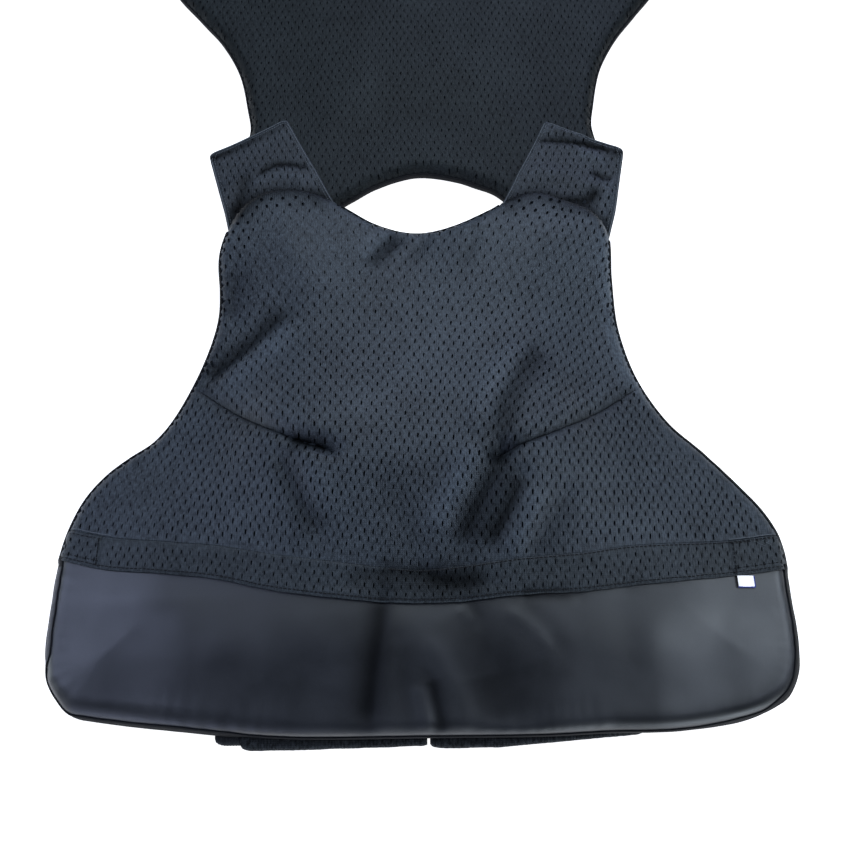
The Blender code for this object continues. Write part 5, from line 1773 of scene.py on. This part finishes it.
def front_half(finish):
    loop = OUTLINES["front"]
    darts = [smooth_line(FRONT_CREASES[d].points, FRONT, LINING_STEP)
             for d in ("dart_left", "dart_right")]
    lines = FrontLines(hem_level(FRONT_HEM, "lower", FRONT), hem_level(FRONT_HEM, "upper", FRONT))
    pad = build_pad("front_pad", FRONT, lines.lower, [finish["satin"], finish["inner"]])
    dress(pad, "front_panel")
    slits = without_plain_edges(thinned(front_slits(), SLIT_SPACING))
    lining_loop = past_level(loop, lambda x: lines.upper(x) + SEAM_GAP, 1, LINING_STEP)
    lining = mesh_cloth("front_lining", FRONT, lining_loop, slits, LINING_SLIT, 5, finish["knit"],
                        OPENINGS, darts, shade_of=front_shade)
    dress(lining, "front_mesh")
    seams = dart_seams(darts, finish)
    front_hem(lines, finish)
    front_bindings(lines, finish)
    for side in (-1, 1):
        core, face, hem, sewn = build_strap(side, finish)


def back_half(finish):
    loop = OUTLINES["back"]
    lower, upper = hem_level(BACK_HEM, "lower", BACK), hem_level(BACK_HEM, "upper", BACK)
    pad = build_pad("back_pad", BACK, lower, [finish["satin"], finish["inner"]])
    dress(pad, "back_panel")
    lining_loop = past_level(loop, lambda x: upper(x) - SEAM_GAP, -1, LINING_STEP)
    lining = mesh_cloth("back_lining", BACK, lining_loop, back_slits(), BACK_SLIT, 15,
                        finish["back_knit_painted_shade"], shade_of=back_shade)
    dress(lining, "back_mesh")
    band_loop = past_level(loop, lambda x: upper(x) + SEAM_GAP, 1, LINE_STEP)
    band_loop = past_level(band_loop, lower, -1, LINE_STEP)
    x_ends = hem_ends(loop)
    along = [level_line(lower, *x_ends), level_line(upper, *x_ends)]
    band = hem_cloth("back_hem_cloth", BACK, band_loop, lower, finish["band"], 71, along)
    dress(band, "back_hem_band")
    on_band = cloth_top(BACK, HEM_RISE)
    rows = [stitches(level_line(level, *x_ends, offset), on_band, *HEM_STITCH)
            for level, offset in ((lower, BACK_LOWER_ROW), (upper, BACK_UPPER_ROW))]
    sewn = new_object("back_hem_stitches", *joined(rows), [finish["thread"]])
    fold = new_object("back_hem_folded_edge", *tube(
        laid(level_line(lower, *x_ends, -0.2 * MM), lambda p: pad_top(BACK, p), 1.3 * MM),
        0.95 * MM, 8), [finish["band"]])
    even = Tape(np.full(len(loop), BACK_TAPE_BEAD), np.full(len(loop), BACK_TAPE_LAP * MM))
    binding = build_binding("back_binding_tape", BACK, loop, even, mesh_above(BACK, lower),
                            [finish["tape"]], closed=True)
    dress(binding, "back_binding")


def side_straps(finish):
    for strap in SIDE_STRAPS:
        piece = dress(build_folded_strap(strap, finish[strap.cloth]), strap.name)


# Camera, floor, room and lamps

CAMERA_UP = 66.0
CAMERA_ROLL = -0.8
CAMERA_DISTANCE = 0.74
CAMERA_AIM = Vector((8.55 * MM, -193.4 * MM, 0.0))
SENSOR = 36
LENS_PIXELS, PHOTO_PIXELS = 1000, 860
FLOOR_HALF = 6
FLOOR_GREY, FLOOR_PATCHES, FLOOR_PATCH_SIZE = 0.92, 0.02, 0.4
FLOOR_ROUGHNESS, FLOOR_SPECULAR = 0.8, 0.2

# Soft boxes that look at the middle of the vest. "round" is the angle from the vest's right side,
# counter-clockwise seen from above, and "up" the angle above the floor
Lamp = namedtuple("Lamp", "name round up distance size watts tint")
DAYLIGHT = (0.88, 1.0, 1.1)
WINDOW = (0.8, 0.92, 1.35)
STUDIO_LAMPS = (
    Lamp("front_right", -60, 10, 2.2, 0.9, 16, DAYLIGHT),
    Lamp("front_left", -125, 15, 2.2, 0.9, 5, WINDOW),
    Lamp("left", 180, 10, 2.2, 0.9, 8, DAYLIGHT),
    Lamp("behind", 75, 20, 2.2, 0.9, 6, WINDOW),
    Lamp("right", 0, 45, 2.2, 0.9, 2.5, WINDOW),
    Lamp("over_back", 90, 50, 0.8, 0.6, 2.5, DAYLIGHT),
    Lamp("over_left", 180, 40, 0.7, 0.3, 0.8, WINDOW),
    Lamp("over_right", 0, 40, 0.7, 0.3, 1.1, DAYLIGHT),
)
LIT_POINT = Vector((0.0, -0.22, 0.02))
ROOM_LIGHT = 0.01
ROOM_SEEN = 1.0
FLOOR_GLOW = 1.0


def photo_camera():
    elevation, roll = np.radians(CAMERA_UP), np.radians(CAMERA_ROLL)
    forward = Vector((0, np.cos(elevation), -np.sin(elevation)))
    level = Vector((1, 0, 0))
    upright = Vector((0, np.sin(elevation), np.cos(elevation)))
    right = np.cos(roll) * level + np.sin(roll) * upright
    up = -np.sin(roll) * level + np.cos(roll) * upright
    lens = bpy.data.cameras.new("photo_view")
    lens.sensor_width = SENSOR
    lens.lens = SENSOR * LENS_PIXELS / PHOTO_PIXELS
    camera = bpy.data.objects.new("photo_view", lens)
    bpy.context.scene.collection.objects.link(camera)
    turned = Matrix((right, up, -forward)).transposed().to_4x4()
    camera.matrix_world = Matrix.Translation(CAMERA_AIM - forward * CAMERA_DISTANCE) @ turned
    bpy.context.scene.camera = camera


def pale_floor():
    made = bpy.data.materials.new("pale_floor")
    made.use_nodes = True
    tree = made.node_tree
    shader = tree.nodes["Principled BSDF"]
    where = add(tree, "ShaderNodeTexCoord").outputs["Object"]
    patches = speckle(tree, where, FLOOR_PATCH_SIZE)
    tone = math(tree, "ADD", math(tree, "MULTIPLY", patches, FLOOR_PATCHES), FLOOR_GREY)
    grey = add(tree, "ShaderNodeCombineColor", [(0, tone), (1, tone), (2, tone)])
    tree.links.new(grey.outputs[0], shader.inputs["Base Color"])
    shader.inputs["Roughness"].default_value = FLOOR_ROUGHNESS
    shader.inputs["Specular IOR Level"].default_value = FLOOR_SPECULAR
    shader.inputs["Emission Color"].default_value = (1, 1, 1, 1)
    shader.inputs["Emission Strength"].default_value = FLOOR_GLOW
    mesh = bpy.data.meshes.new("floor")
    corners = [(x * FLOOR_HALF, y * FLOOR_HALF, 0) for x, y in ((-1, -1), (1, -1), (1, 1), (-1, 1))]
    mesh.from_pydata(corners, [], [(0, 1, 2, 3)])
    mesh.materials.append(made)
    floor = bpy.data.objects.new("floor", mesh)
    bpy.context.scene.collection.objects.link(floor)


def pale_room():
    """A room that gives the vest little light, and still looks pale past the floor's far edge."""
    world = bpy.data.worlds.new("studio")
    world.use_nodes = True
    tree = world.node_tree
    either = tree.nodes.new("ShaderNodeMixShader")
    seen = tree.nodes.new("ShaderNodeLightPath").outputs["Is Camera Ray"]
    tree.links.new(seen, either.inputs["Fac"])
    for slot, strength in ((1, ROOM_LIGHT), (2, ROOM_SEEN)):
        light = tree.nodes.new("ShaderNodeBackground")
        light.inputs["Color"].default_value = (1, 1, 1, 1)
        light.inputs["Strength"].default_value = strength
        tree.links.new(light.outputs["Background"], either.inputs[slot])
    tree.links.new(either.outputs["Shader"], tree.nodes["World Output"].inputs["Surface"])
    bpy.context.scene.world = world


def soft_boxes():
    for box in STUDIO_LAMPS:
        lamp = bpy.data.lights.new(box.name, "AREA")
        lamp.size = box.size
        lamp.energy = box.watts
        lamp.color = box.tint
        made = bpy.data.objects.new(box.name, lamp)
        bpy.context.scene.collection.objects.link(made)
        turn, rise = np.radians(box.round), np.radians(box.up)
        outwards = Vector((np.cos(turn) * np.cos(rise), np.sin(turn) * np.cos(rise), np.sin(rise)))
        made.location = LIT_POINT + box.distance * outwards
        made.rotation_euler = (-outwards).to_track_quat("-Z", "Y").to_euler()


bpy.context.scene.view_settings.view_transform = "Standard"
photo_camera()
soft_boxes()
pale_room()
pale_floor()
finishes = make_finishes()
front_half(finishes)
back_half(finishes)
side_straps(finishes)
